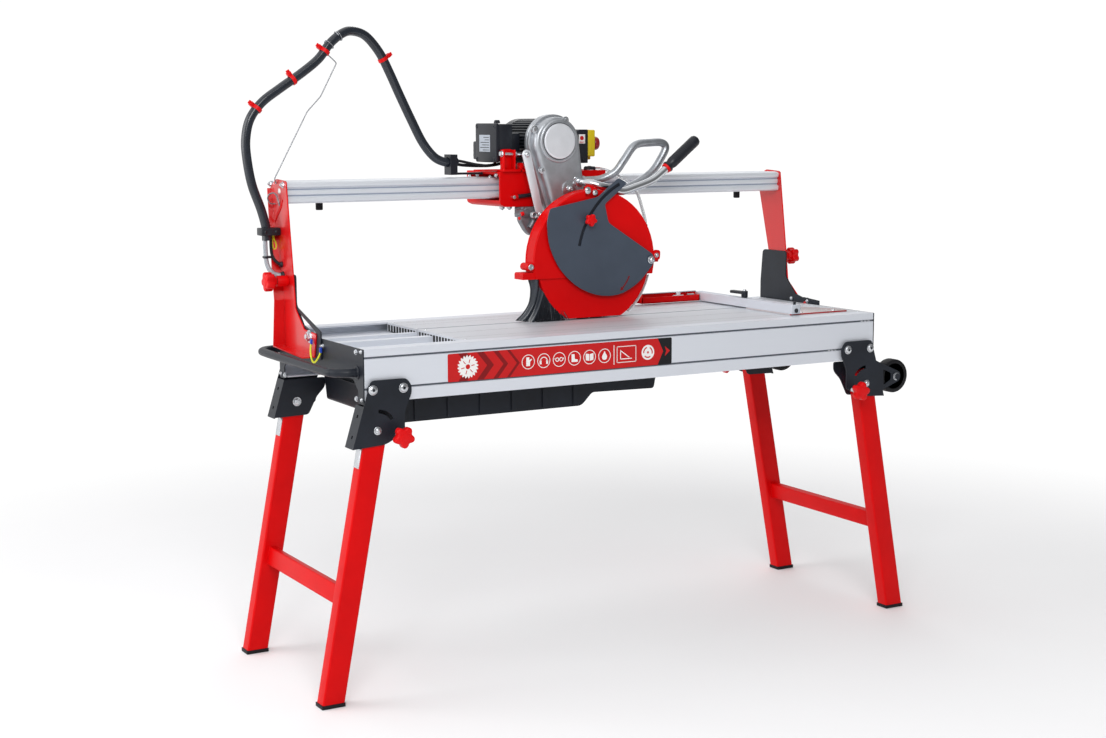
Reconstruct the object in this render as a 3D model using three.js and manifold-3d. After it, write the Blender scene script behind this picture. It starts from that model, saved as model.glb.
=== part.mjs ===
// Wet bridge saw for tiles on folding legs. Millimetres, +Z up.
// Sub-parts are drawn in the table frame: x = 0 at the left end plate,
// y = 0 at the front face and z = 0 at the floor.
import * as THREE from 'three';
import { mergeVertices } from 'three/addons/utils/BufferGeometryUtils.js';
import Module from 'manifold-3d';

const wasm = await Module();
wasm.setup();

// Driving dimensions
const TABLE_LENGTH = 1640;
const TABLE_WIDTH = 573;
const TABLE_TOP = 907;
const PROFILE_BOTTOM = 772;
const SHEET = 3;
const GAP = 0.3;

const PANEL_START = 305;
const PANEL_THICKNESS = 25;
const PANEL_JOINT = 2;
const SLOT_FRONT = 321;
const SLOT_BACK = 335;
const FLANGE = 49.5;

const LEG_LEAN = THREE.MathUtils.degToRad(10.7);
const LEG_PIVOT = { x: 32, z: 701 };
const LEG_KNOB = { x: 86, z: 686 };
const LEG_WIDTH = 60;
const LEG_DEPTH = 43;
const LEG_FRONT = -6.3;
const BRACE_MIDDLE = 437;

const MITRE = { y: 328, z: TABLE_TOP };
const MITRE_BOLT = { y: 479, z: 1043 };
const MITRE_PLATE = [-4.5, -0.5];
const MITRE_GROOVE = -2;

const RAIL = { front: 480, back: 600, bottom: 1250, top: 1310 };
const WEB = { inner: 5, outer: 8.2 };

const MOTOR = { x: 780, z: 1409, radius: 68 };
const ARBOR = { x: 855, z: 1075 };
const BLADE_RADIUS = 173;
const BLADE_Y = 328;
const GUARD = { radius: 200, front: 293, back: 346, bottom: 912, split: 1029 };
const LOWER_GUARD_RADIUS = 186;
const CASE = { front: 374, seam: 402, back: 430, wall: 5, radius: 80, bottomRadius: 46, step: 7 };
const BELT_Y = [390, 414];
const DRIVE_PULLEY = 24;
const BLADE_PULLEY = 27;
const BELT = 5;
const COVER_PIVOT = { x: 1037, z: 1070 };
const STAR_KNOB = { x: 824, z: 1192 };

const FENCE_X = 1385;
const HOSE_RADIUS = 13;
const LIFT_BAR_RADIUS = 11;
const WHEEL = { x: 1721, z: 713, radius: 50 };

// Materials
function paint(color, roughness, metalness) {
  return new THREE.MeshStandardMaterial({ color, roughness, metalness });
}

const RED = paint(0xc80a0c, 0.4, 0.1);
const ALUMINIUM = paint(0xd6dae0, 0.35, 0.8);
const CAST = paint(0xb4b8bd, 0.4, 0.8);
const CHROME = paint(0xd0d2d6, 0.15, 1.0);
const STEEL = paint(0xaab0b6, 0.3, 0.9);
const BLACK_SHEET = paint(0x23262d, 0.45, 0.3);
const BLACK_PLASTIC = paint(0x1b1c1f, 0.6, 0.0);
const RUBBER = paint(0x151515, 0.8, 0.0);
const SLATE = paint(0x465264, 0.4, 0.2);
const YELLOW = paint(0xd7be08, 0.5, 0.0);
const CLEAR_RED = paint(0xa01012, 0.3, 0.0);

// Solids
function solid(geometry) {
  const bare = geometry.index ? geometry.toNonIndexed() : geometry.clone();
  for (const attribute of Object.keys(bare.attributes)) {
    if (attribute !== 'position') bare.deleteAttribute(attribute);
  }
  const merged = mergeVertices(bare, 1e-4);
  const mesh = new wasm.Mesh({
    numProp: 3,
    vertProperties: merged.attributes.position.array,
    triVerts: new Uint32Array(merged.index.array),
  });
  return new wasm.Manifold(mesh);
}

function box(x, y, z) {
  const geometry = new THREE.BoxGeometry(x[1] - x[0], y[1] - y[0], z[1] - z[0]);
  geometry.translate((x[0] + x[1]) / 2, (y[0] + y[1]) / 2, (z[0] + z[1]) / 2);
  return solid(geometry);
}

// An outline from corners [u, v] or [u, v, how far before and after it the corner is rounded].
function outline(corners) {
  const shape = new THREE.Shape();
  corners.forEach(([u, v, rounded = 0], i) => {
    const here = new THREE.Vector2(u, v);
    const before = new THREE.Vector2(...corners.at(i - 1).slice(0, 2)).sub(here);
    const after = new THREE.Vector2(...corners[(i + 1) % corners.length].slice(0, 2)).sub(here);
    const radius = Math.min(rounded, 0.45 * before.length(), 0.45 * after.length());
    const inward = before.setLength(radius).add(here);
    const onward = after.setLength(radius).add(here);
    if (i === 0) shape.moveTo(inward.x, inward.y);
    else shape.lineTo(inward.x, inward.y);
    if (radius > 0) shape.quadraticCurveTo(u, v, onward.x, onward.y);
  });
  return shape;
}

function extrude(shape, depth, curveSegments) {
  return new THREE.ExtrudeGeometry(shape, { depth, bevelEnabled: false, curveSegments });
}

// A prism along y of an outline in x and z.
function prismY(shape, y, curveSegments = 4) {
  const geometry = extrude(shape, y[1] - y[0], curveSegments);
  geometry.rotateX(Math.PI / 2);
  geometry.translate(0, y[1], 0);
  return solid(geometry);
}

// A prism along x of an outline in y and z.
function prismX(shape, x, curveSegments = 4) {
  const geometry = extrude(shape, x[1] - x[0], curveSegments);
  geometry.rotateX(Math.PI / 2);
  geometry.rotateZ(Math.PI / 2);
  geometry.translate(x[0], 0, 0);
  return solid(geometry);
}

// A prism along z of an outline in x and y.
function prismZ(shape, z, curveSegments = 4) {
  const geometry = extrude(shape, z[1] - z[0], curveSegments);
  geometry.translate(0, 0, z[0]);
  return solid(geometry);
}

function rodY(at, radius, y, segments = 24) {
  const geometry = new THREE.CylinderGeometry(radius, radius, y[1] - y[0], segments);
  geometry.translate(at.x, (y[0] + y[1]) / 2, at.z);
  return solid(geometry);
}

function rodX(at, radius, x, segments = 24) {
  const geometry = new THREE.CylinderGeometry(radius, radius, x[1] - x[0], segments);
  geometry.rotateZ(Math.PI / 2);
  geometry.translate((x[0] + x[1]) / 2, at.y, at.z);
  return solid(geometry);
}

function rodZ(at, radius, z, segments = 24) {
  const geometry = new THREE.CylinderGeometry(radius, radius, z[1] - z[0], segments);
  geometry.rotateX(Math.PI / 2);
  geometry.translate(at.x, at.y, (z[0] + z[1]) / 2);
  return solid(geometry);
}

// A round bar or pipe along a smooth line through points.
function pipe(points, radius, steps, sides = 8) {
  const section = new THREE.Shape();
  section.absarc(0, 0, radius, 0, 2 * Math.PI);
  const path = new THREE.CatmullRomCurve3(
    points.map((point) => new THREE.Vector3(...point)),
    false,
    'catmullrom'
  );
  const options = { extrudePath: path, steps, curveSegments: sides / 2 };
  return solid(new THREE.ExtrudeGeometry(section, options));
}

// The outline round two circles and their outer tangents.
function roundTwo(a, radiusA, b, radiusB, steps = 10) {
  const along = Math.atan2(b.z - a.z, b.x - a.x);
  const distance = Math.hypot(b.x - a.x, b.z - a.z);
  const spread = Math.acos((radiusA - radiusB) / distance);
  const shape = new THREE.Shape();
  shape.absarc(a.x, a.z, radiusA, along + spread, along - spread + 2 * Math.PI, false);
  shape.absarc(b.x, b.z, radiusB, along - spread, along + spread, false);
  shape.closePath();
  return { shape, steps };
}

function mirrorX(manifold) {
  return manifold.scale([-1, 1, 1]).translate([TABLE_LENGTH, 0, 0]);
}

function mirrorY(manifold) {
  return manifold.scale([1, -1, 1]).translate([0, TABLE_WIDTH, 0]);
}

const machine = new THREE.Group();
machine.position.set(-TABLE_LENGTH / 2, -TABLE_WIDTH / 2, 0);

function add(name, manifold, material) {
  const { vertProperties, triVerts } = manifold.getMesh();
  const geometry = new THREE.BufferGeometry();
  geometry.setAttribute('position', new THREE.BufferAttribute(new Float32Array(vertProperties), 3));
  geometry.setIndex(new THREE.BufferAttribute(new Uint32Array(triVerts), 1));
  const mesh = new THREE.Mesh(geometry, material);
  mesh.name = name;
  machine.add(mesh);
}

// Table frame
function sideProfile() {
  const groove = (z) => [[0, z + 3], [3, z + 3], [3, z - 3], [0, z - 3]];
  const ledge = TABLE_TOP - PANEL_THICKNESS - GAP;
  return prismX(
    outline([
      [0, PROFILE_BOTTOM],
      [FLANGE, PROFILE_BOTTOM],
      [FLANGE, PROFILE_BOTTOM + 4],
      [6, PROFILE_BOTTOM + 4],
      [6, ledge - 5],
      [FLANGE + 20, ledge - 5],
      [FLANGE + 20, ledge],
      [6, ledge],
      [6, TABLE_TOP - 5],
      [FLANGE, TABLE_TOP - 5],
      [FLANGE, TABLE_TOP],
      [0, TABLE_TOP],
      ...groove(885),
      ...groove(806),
    ]),
    [SHEET + GAP, TABLE_LENGTH - SHEET - GAP]
  );
}

function endPlate() {
  const foot = 34;
  const plate = prismX(
    outline([
      [0, 767, 3],
      [foot, 767, 3],
      [foot, 800],
      [foot + 30, 826],
      [TABLE_WIDTH - foot - 30, 826],
      [TABLE_WIDTH - foot, 800],
      [TABLE_WIDTH - foot, 767, 3],
      [TABLE_WIDTH, 767, 3],
      [TABLE_WIDTH, TABLE_TOP],
      [0, TABLE_TOP],
    ]),
    [0, SHEET]
  );
  return plate.subtract(rodX(MITRE, 6.4, [-1, SHEET + 1]));
}

function tableBed() {
  const top = TABLE_TOP - PANEL_THICKNESS - GAP;
  const ends = [SHEET + GAP, TABLE_LENGTH - SHEET - GAP];
  const inner = [FLANGE + 20 + GAP, TABLE_WIDTH - FLANGE - 20 - GAP];
  const ribTop = TABLE_TOP - 9;
  let bed = box([ends[0], PANEL_START - 3], inner, [top - 4, top]);
  bed = bed.add(box(ends, [215, 360], [top - 16, top]));
  for (const y of [[226, 255], [325, 345]]) {
    bed = bed.add(box([ends[0], PANEL_START - GAP], y, [top - 1, ribTop]));
  }
  for (const y of [[95, 105], [175, 185], [395, 405], [460, 470]]) {
    bed = bed.subtract(box([60, 260], y, [top - 6, top + 2]));
  }
  return bed;
}

// An extruded panel: a flat top on a comb of ribs.
function panel(y, ribs) {
  const bottom = TABLE_TOP - PANEL_THICKNESS;
  const under = TABLE_TOP - 6;
  const rib = 4;
  const pitch = (y[1] - y[0] - rib) / ribs;
  const corners = [[y[1], TABLE_TOP], [y[0], TABLE_TOP]];
  for (let i = 0; i <= ribs; i += 1) {
    const left = y[0] + i * pitch;
    if (i > 0) corners.push([left, under]);
    corners.push([left, bottom], [left + rib, bottom]);
    if (i < ribs) corners.push([left + rib, under]);
  }
  return prismX(outline(corners.reverse()), [PANEL_START, TABLE_LENGTH - SHEET - GAP]);
}

function waterTray() {
  const wall = 3;
  const ends = [105, 1560];
  const sides = [57, 515];
  const rim = PROFILE_BOTTOM + 4 + GAP;
  const height = 800;
  const floor = (lift) => [
    [668, 703 + lift, 12],
    [702, 737 + lift, 8],
    [902 - lift, 733 + lift, 8],
    [908 - lift, 764 + lift, 3],
    [ends[1] - lift, 764 + lift],
  ];
  const outside = outline([[ends[0] + 10, 703, 8], ...floor(0), [ends[1], height], [ends[0], height]]);
  const inside = outline([
    [ends[0] + 10 + wall, 703 + wall, 8],
    ...floor(wall),
    [ends[1] - wall, height + 9],
    [ends[0] + wall, height + 9],
  ]);
  let tray = prismY(outside, sides);
  for (let x = 165; x < 660; x += 95) {
    tray = tray.add(box([x, x + 14], [sides[0] - 4, sides[1] + 4], [708, rim + 1]));
  }
  tray = tray.add(box([ends[0] - 8, ends[1] + 8], [45, TABLE_WIDTH - 45], [rim, rim + wall]));
  return tray.subtract(prismY(inside, [sides[0] + wall, sides[1] - wall]));
}

function waterPump() {
  const at = { x: 230, y: 430 };
  return rodZ(at, 36, [706.4, 775])
    .add(rodZ(at, 10, [774, 798], 12))
    .add(box([225, 292], [412, 448], [706.4, 740]));
}

function liftHandle() {
  const z = 845;
  const out = -61;
  const behind = TABLE_WIDTH + LIFT_BAR_RADIUS + GAP;
  const route = [
    [-GAP - 0.2, 38, z],
    [-12, 38, z],
    [-30, 42, z],
    [-53, 64, z],
    [out, 102, z],
    [out, 290, z],
    [out, 515, z],
    [-52, 562, z],
    [-24, behind - 2, z],
    [12, behind, z],
    [60, behind, z],
  ];
  return pipe(route, LIFT_BAR_RADIUS, 28);
}

// Leg bracket: a folded sheet channel with the leg between its two plates.
function legBracket(withFork) {
  const outer = [-10, -10 + SHEET];
  const inner = [37.6, 40.6];
  const hole = (x, z, radius) => rodY({ x, z }, radius, [-30, 60], 12);
  const face = outline([
    [16, 829, 10],
    [115, 829, 12],
    [128, 809, 8],
    [128, 790, 10],
    [108, 745, 10],
    [108, 690, 6],
    [54, 664, 10],
    [-36, 658, 3],
  ]);
  let bracket = prismY(face, outer, 3);
  const back = outline([
    [-2, 764],
    [118, 764, 6],
    [118, 738, 14],
    [92, 712, 8],
    [66, 662, 8],
    [-33.5, 660],
  ]);
  bracket = bracket.add(prismY(back, inner, 3));
  const fold = outline([[-36, 658], [-33, 658], [-1.5, 764], [-4, 764]]);
  bracket = bracket.add(prismY(fold, [outer[0], inner[1]]));
  for (const x of [21, 105]) {
    bracket = bracket.add(rodY({ x, z: 805 }, 13, [outer[1] - 0.5, -GAP], 12));
    bracket = bracket.add(rodY({ x, z: 805 }, 8.5, [outer[0] - 5, outer[0] + 0.5], 6));
  }
  bracket = bracket.subtract(hole(LEG_PIVOT.x, LEG_PIVOT.z, 6.4));
  bracket = bracket.subtract(hole(LEG_KNOB.x, LEG_KNOB.z, 6.4));
  for (const z of [686, 738]) {
    const x = -36 + ((z - 658) * 34) / 106;
    bracket = bracket.subtract(box([x - 8, x + 12], [10, 18], [z - 4, z + 4]));
  }
  const slot = new THREE.Shape();
  slot.absarc(LEG_PIVOT.x, LEG_PIVOT.z, 54, 0.55, 1.5, false);
  slot.absarc(LEG_PIVOT.x, LEG_PIVOT.z, 44, 1.5, 0.55, true);
  bracket = bracket.subtract(prismY(slot, [-20, 0], 4));
  if (withFork) bracket = bracket.add(wheelFork());
  return bracket;
}

// The wheel's arm, drawn on the left and mirrored to the right with its bracket.
function wheelFork() {
  const axle = { x: TABLE_LENGTH - WHEEL.x, z: WHEEL.z };
  const face = outline([
    [axle.x - 16, axle.z - 12, 10],
    [axle.x - 16, axle.z + 12, 10],
    [2, 768],
    [-8, 668],
  ]);
  const window = outline([
    [axle.x + 20, axle.z - 8, 6],
    [axle.x + 20, axle.z + 12, 6],
    [-30, 738, 6],
    [-34, 690, 6],
  ]);
  return prismY(face, [-10, -7])
    .subtract(prismY(window, [-20, 0]))
    .add(rodY(axle, 6, [-16, 36], 12))
    .add(rodY(axle, 10, [-16, -9], 6));
}

function mitrePlate() {
  const plate = outline([
    [262, 850, 12],
    [262, 896, 6],
    [305, 915, 10],
    [380, 932],
    [431, 983, 8],
    [431, 1062, 10],
    [552, 1062, 14],
    [562, 960],
    [562, 850, 12],
  ]);
  const groove = new THREE.Shape();
  const radius = Math.hypot(MITRE_BOLT.y - MITRE.y, MITRE_BOLT.z - MITRE.z);
  const rest = Math.atan2(MITRE_BOLT.z - MITRE.z, MITRE_BOLT.y - MITRE.y);
  groove.absarc(MITRE.y, MITRE.z, radius + 6.5, rest - 0.84, rest + 0.05, false);
  groove.absarc(MITRE.y, MITRE.z, radius - 6.5, rest + 0.05, rest - 0.84, true);
  return prismX(plate, MITRE_PLATE)
    .subtract(prismX(groove, [MITRE_PLATE[0] - 1, MITRE_GROOVE], 6))
    .subtract(rodX(MITRE, 6.4, [-10, 10]));
}

// Legs, drawn on the left
function legDirection(distance) {
  return {
    x: LEG_PIVOT.x - distance * Math.sin(LEG_LEAN),
    z: LEG_PIVOT.z - distance * Math.cos(LEG_LEAN),
  };
}

function legFrame() {
  const half = LEG_WIDTH / 2;
  const cut = half / Math.cos(LEG_LEAN);
  const footZ = 10;
  const foot = legDirection((LEG_PIVOT.z - footZ) / Math.cos(LEG_LEAN));
  const top = legDirection(-34);
  const across = { x: half * Math.cos(LEG_LEAN), z: -half * Math.sin(LEG_LEAN) };
  const side = outline([
    [foot.x - cut, footZ],
    [foot.x + cut, footZ],
    [top.x + across.x, top.z + across.z, 6],
    [top.x - across.x, top.z - across.z, 6],
  ]);
  const wall = 2.5;
  const bore = cut - wall;
  const boreTop = legDirection(60);
  const inside = outline([
    [foot.x - bore - 2, 0],
    [foot.x + bore - 2, 0],
    [boreTop.x + bore, boreTop.z],
    [boreTop.x - bore, boreTop.z],
  ]);
  const tube = prismY(side, [LEG_FRONT, LEG_FRONT + LEG_DEPTH])
    .subtract(prismY(inside, [LEG_FRONT + wall, LEG_FRONT + LEG_DEPTH - wall]));
  const pin = rodY(LEG_PIVOT, 6, [-12, 44], 16).add(rodY(LEG_PIVOT, 10, [-16, -10.4], 6));
  const leg = tube.add(pin);
  const middle = legDirection(BRACE_MIDDLE);
  const brace = box([-12, 12], [LEG_FRONT + 20, TABLE_WIDTH - LEG_FRONT - 20], [-25, 25])
    .rotate([0, (LEG_LEAN * 180) / Math.PI, 0])
    .translate([middle.x, 0, middle.z]);
  return leg.add(mirrorY(leg)).add(brace);
}

function footCap() {
  const foot = legDirection((LEG_PIVOT.z - 5) / Math.cos(LEG_LEAN));
  const half = LEG_WIDTH / 2 / Math.cos(LEG_LEAN) + 1.5;
  const y = [LEG_FRONT - 1.5, LEG_FRONT + LEG_DEPTH + 1.5];
  return box([foot.x - half, foot.x + half], y, [0, 10 - GAP]);
}

function lobedOutline(radius, lobes, depth) {
  const points = [];
  const steps = lobes * 4;
  for (let i = 0; i < steps; i += 1) {
    const angle = (2 * Math.PI * i) / steps;
    const reach = radius - depth * (0.5 - 0.5 * Math.cos(lobes * angle));
    points.push(new THREE.Vector2(reach * Math.cos(angle), reach * Math.sin(angle)));
  }
  return new THREE.Shape(points);
}

// A star knob on a shank along y; its face is at y[0] and its shank ends at shankEnd.
function knobY(at, radius, lobes, y, shankEnd, shank = 6) {
  return prismY(lobedOutline(radius, lobes, radius * 0.25), y)
    .translate([at.x, 0, at.z])
    .add(rodY(at, shank * 1.6, [y[1] - 1, y[1] + 8], 16))
    .add(rodY(at, shank, [y[1], shankEnd], 16));
}

function wheel() {
  const tread = rodY(WHEEL, WHEEL.radius, [-3, 31], 32);
  const rim = rodY(WHEEL, 36, [-4, -0.5], 20).add(rodY(WHEEL, 36, [28, 32], 20));
  const hub = rodY(WHEEL, 14, [-6.4, 34], 16);
  return tread.subtract(rim).add(hub).subtract(rodY(WHEEL, 6.4, [-20, 60], 12));
}

// Bridge
function column() {
  const web = outline([
    [300, 853, 4],
    [511, 862, 4],
    [508, 990],
    [592, 1293, 10],
    [546, 1316, 8],
    [475, 1312, 8],
    [459, 1203],
    [439, 1067],
    [427, 973, 10],
    [368, 921, 10],
    [284, 917, 8],
  ]);
  const outerX = [-WEB.outer, -WEB.inner];
  const fold = -42;
  let sheet = prismX(web, outerX);
  const bottomFold = outline([[300, 853], [511, 862], [511, 865], [300, 856]]);
  sheet = sheet.add(prismX(bottomFold, [fold, outerX[1]]));
  const backFold = outline([
    [508, 862],
    [511, 862],
    [508, 990],
    [589, 1288],
    [586, 1290],
    [505, 990],
  ]);
  const taper = prismY(
    outline([[fold, 861], [-5, 861], [-5, 1292], [-18, 1292], [-34, 1060]]),
    [440, 600]
  );
  sheet = sheet.add(prismX(backFold, [fold, outerX[1]]).intersect(taper));
  const pin = rodX(MITRE, 6, [-14, SHEET - 0.2], 16);
  const head = rodX(MITRE, 10, [-18, -WEB.outer + 0.5], 6);
  return sheet.add(pin).add(head).subtract(rodX(MITRE_BOLT, 5.6, [-20, 0], 16));
}

function mitreKnob() {
  const lobes = prismX(lobedOutline(27, 5, 7), [-74, -50]).translate([0, MITRE_BOLT.y, MITRE_BOLT.z]);
  return lobes
    .add(rodX(MITRE_BOLT, 15, [-51, -WEB.outer - GAP], 20))
    .add(rodX(MITRE_BOLT, 5, [-20, MITRE_GROOVE - GAP], 16));
}

function rail() {
  const { front, back, bottom, top } = RAIL;
  const middle = (bottom + top) / 2;
  const half = [
    [front + 8, bottom],
    [back - 8, bottom],
    [back - 2, bottom + 3],
    [back, bottom + 9],
    [back - 3, bottom + 17],
    [back - 12, bottom + 20],
    [back - 12, middle - 3],
    [back - 8, middle],
  ];
  const upperBack = half.slice(1, 7).map(([y, z]) => [y, 2 * middle - z]).reverse();
  const backSide = [...half.slice(1), ...upperBack];
  const frontSide = backSide.map(([y, z]) => [front + back - y, z]).reverse();
  const ends = [-WEB.inner + GAP, TABLE_LENGTH + WEB.inner - GAP];
  const bore = box([ends[0] - 1, ends[1] + 1], [front + 16, back - 16], [bottom + 5, top - 5]);
  return prismX(outline([...backSide, ...frontSide]), ends).subtract(bore);
}

function columnHoseClamp() {
  const at = { x: -41, y: 540 };
  const bore = HOSE_RADIUS + 1;
  return box([-62, -WEB.outer - GAP], [519, 556], [1166, 1182])
    .subtract(rodZ(at, bore, [1160, 1190], 16))
    .subtract(box([-30, 0], [552, 560], [1160, 1190]));
}

// Carriage
function carriageBlock() {
  const face = outline([
    [623, 1234, 8],
    [640, 1227],
    [765, 1227, 8],
    [940, 1268, 8],
    [975, 1300, 8],
    [975, 1327, 3],
    [623, 1327, 3],
  ]);
  let block = prismY(face, [433, 640]);
  block = block.subtract(box([600, 1000], [440, 634], [1245, 1319]));
  for (const [x0, x1] of [[640, 690], [905, 955]]) {
    block = block.add(box([x0, x1], [439, 478], [1311, 1320]));
  }
  return block;
}

function roller(x) {
  const at = { x, y: RAIL.front - 14 - GAP };
  return rodZ(at, 14, [1254, 1306], 20).add(rodZ(at, 5, [1248, 1310.4], 12));
}

function motorHousing() {
  const body = [CASE.back + 1, 616];
  let housing = rodY(MOTOR, MOTOR.radius - 6, body);
  for (let y = body[0] + 10; y < body[1] - 10; y += 44) {
    housing = housing.add(rodY(MOTOR, MOTOR.radius, [y, y + 20]));
  }
  housing = housing.add(rodY(MOTOR, MOTOR.radius - 12, [body[1] - 1, 632], 24));
  housing = housing.add(box([735, 825], [470, 600], [1327 + GAP, 1345]));
  return housing.subtract(rodY(MOTOR, 20, [420, 560], 16));
}

function terminalBox() {
  return box([617, 672], [446, 572], [1353, 1464])
    .add(box([622, 668], [571, 598], [1360, 1412]))
    .add(box([671, 706], [466, 552], [1384, 1436]));
}

function switchBox() {
  const bracket = box([850, 906], [490, 525], [1392, 1428]);
  return box([905, 938], [472, 545], [1347, 1445]).add(bracket);
}

function switchCover() {
  return box([938 + GAP, 964], [472, 543], [1366, 1444])
    .subtract(box([937, 959], [477, 538], [1371, 1430]))
    .subtract(rodX({ y: 508, z: 1404 }, 9, [950, 970], 16));
}

function stopButton() {
  const at = { y: 508, z: 1404 };
  return rodX(at, 8.6, [948, 974], 16).add(rodX(at, 20, [972, 992], 20));
}

function carriageHoseClamp() {
  const arm = box([512, 620 - GAP], [530, 552], [1318, 1324]);
  const ring = box([510, 532], [519, 561], [1318, 1376]);
  return arm.add(ring).subtract(rodX({ y: 540, z: 1354 }, HOSE_RADIUS + 1, [500, 540], 16));
}

// Head
function beltCase() {
  const { front, seam, back, wall, radius, bottomRadius, step } = CASE;
  const rim = roundTwo(MOTOR, radius, ARBOR, bottomRadius);
  const face = roundTwo(MOTOR, radius - step, ARBOR, bottomRadius - step);
  const inside = roundTwo(MOTOR, radius - step - wall, ARBOR, bottomRadius - step - wall);
  return prismY(rim.shape, [seam, back], rim.steps)
    .add(prismY(face.shape, [front, seam + 1], face.steps))
    .add(rodY(MOTOR, 48, [front - 8, front + 1]))
    .subtract(prismY(inside.shape, [front + wall, back - wall], inside.steps))
    .subtract(rodY(MOTOR, 18, [back - 10, back + 10], 16))
    .subtract(rodY(ARBOR, 18, [front - 10, front + 10], 16));
}

function driveBelt() {
  const y = BELT_Y;
  const outer = roundTwo(MOTOR, DRIVE_PULLEY + BELT, ARBOR, BLADE_PULLEY + BELT);
  const inner = roundTwo(MOTOR, DRIVE_PULLEY + GAP, ARBOR, BLADE_PULLEY + GAP);
  const opening = prismY(inner.shape, [y[0] - 5, y[1] + 5], inner.steps);
  return prismY(outer.shape, y, outer.steps).subtract(opening);
}

function motorRotor() {
  const pulley = rodY(MOTOR, DRIVE_PULLEY - GAP, [BELT_Y[0] - 4, BELT_Y[1] + 4]);
  return rodY(MOTOR, 12, [385, 552], 16).add(pulley);
}

function bladeSpindle() {
  return rodY(ARBOR, 12.6, [306, 420], 20)
    .add(rodY(ARBOR, BLADE_PULLEY - GAP, [BELT_Y[0] - 4, BELT_Y[1] + 4]))
    .add(rodY(ARBOR, 42, [BLADE_Y + 1.8, BLADE_Y + 10], 24));
}

function blade() {
  const disc = rodY(ARBOR, BLADE_RADIUS, [BLADE_Y - 1.5, BLADE_Y + 1.5], 56);
  return disc.subtract(rodY(ARBOR, 13, [300, 350]));
}

function bladeGuard() {
  const { radius, front, back, split } = GUARD;
  const wall = 5;
  const inner = radius - 9;
  const below = box([ARBOR.x - 2 * radius, ARBOR.x + 2 * radius], [0, TABLE_WIDTH], [0, split]);
  const ledge = outline([[620, split], [712, split], [712, 1048], [620, 1048, 6]]);
  const shoulder = prismY(ledge, [front + 3, back]);
  const lug = { x: 646, z: 1064 };
  return rodY(ARBOR, radius, [front, back], 56)
    .add(shoulder)
    .add(rodY(lug, 11, [front + 4, back - 6], 16))
    .add(box([lug.x, 672], [front + 4, back - 6], [1055, 1073]))
    .add(box([1040, 1072], [front + 3, back - 6], [1062, 1092]))
    .subtract(below)
    .subtract(rodY(ARBOR, inner, [front + wall, back - wall], 48))
    .subtract(rodY(ARBOR, 20, [back - 10, back + 10], 16));
}

function lowerGuard() {
  const { front, back, bottom, split } = GUARD;
  const radius = LOWER_GUARD_RADIUS;
  const y = [front + 5.5, back - 5.5];
  const wall = 4;
  const wide = [ARBOR.x - radius - 10, ARBOR.x + radius + 10];
  return rodY(ARBOR, radius, y, 48)
    .subtract(rodY(ARBOR, radius - wall, [y[0] + wall, y[1] - wall], 48))
    .subtract(box(wide, [0, TABLE_WIDTH], [split - GAP, 2 * split]))
    .subtract(box(wide, [0, TABLE_WIDTH], [0, bottom]))
    .subtract(box(wide, [BLADE_Y + 4, TABLE_WIDTH], [0, bottom + 44]));
}

function guardCover() {
  const plate = outline([
    [702, 1227, 6],
    [858, 1256, 8],
    [927, 1309, 8],
    [956, 1293, 6],
    [906, 1254],
    [881, 1235, 6],
    [893, 1182, 10],
    [1048, 1084, 10],
    [1047, 1058, 8],
    [1000, 1007, 26],
    [936, 972, 40],
    [862, 972, 40],
    [790, 1000, 40],
    [729, 1056, 40],
    [696, 1125, 30],
    [691, 1190, 20],
  ]);
  const slot = new THREE.Shape();
  const radius = Math.hypot(STAR_KNOB.x - COVER_PIVOT.x, STAR_KNOB.z - COVER_PIVOT.z);
  const rest = Math.atan2(STAR_KNOB.z - COVER_PIVOT.z, STAR_KNOB.x - COVER_PIVOT.x);
  slot.absarc(COVER_PIVOT.x, COVER_PIVOT.z, radius + 5, rest - 0.6, rest + 0.32, false);
  slot.absarc(COVER_PIVOT.x, COVER_PIVOT.z, radius - 5, rest + 0.32, rest - 0.6, true);
  return prismY(plate, [283, 286], 3)
    .subtract(prismY(slot, [270, 300], 8))
    .add(rodY(COVER_PIVOT, 7, [280, GUARD.front - GAP], 16));
}

function handleBar() {
  const route = [
    [852, CASE.front - 0.5, 1297],
    [852, CASE.front - 12, 1297],
    [866, 340, 1294],
    [890, 324, 1286],
    [922, 320, 1278],
    [960, 320, 1268],
    [1010, 320, 1280],
    [1062, 320, 1297],
    [1095, 320, 1318],
    [1110.6, 320, 1330.1],
  ];
  return pipe(route, 11, 18);
}

function handleGrip() {
  const from = new THREE.Vector3(1112, 320, 1331);
  const to = new THREE.Vector3(1222, 320, 1418);
  const along = to.clone().sub(from);
  const tilt = -Math.atan2(along.z, along.x);
  const length = along.length();
  const profile = [new THREE.Vector2(0, 0), new THREE.Vector2(14, 0)];
  profile.push(new THREE.Vector2(14, 30), new THREE.Vector2(17, 33), new THREE.Vector2(17, length - 5));
  profile.push(new THREE.Vector2(13, length), new THREE.Vector2(0, length));
  const grip = new THREE.LatheGeometry(profile, 16);
  grip.rotateZ(-Math.PI / 2);
  grip.rotateY(tilt);
  grip.translate(from.x, from.y, from.z);
  return solid(grip);
}

function loopHandle() {
  const route = [
    [876.5, 404, 1296],
    [890, 403, 1299],
    [934, 392, 1302],
    [974, 379, 1322],
    [1002, 375, 1356],
    [1030, 375, 1391],
    [1052, 375, 1403],
    [1090, 375, 1406],
    [1132, 375, 1406],
    [1147, 375, 1390],
    [1128, 375, 1355],
    [1102, 375, 1323],
    [1066, 375, 1299],
    [1024, 375, 1280],
    [974, 381, 1264],
    [924, 395, 1255],
    [896, 403, 1254],
    [883.5, 404, 1254],
  ];
  return pipe(route, 11.5, 40);
}

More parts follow.
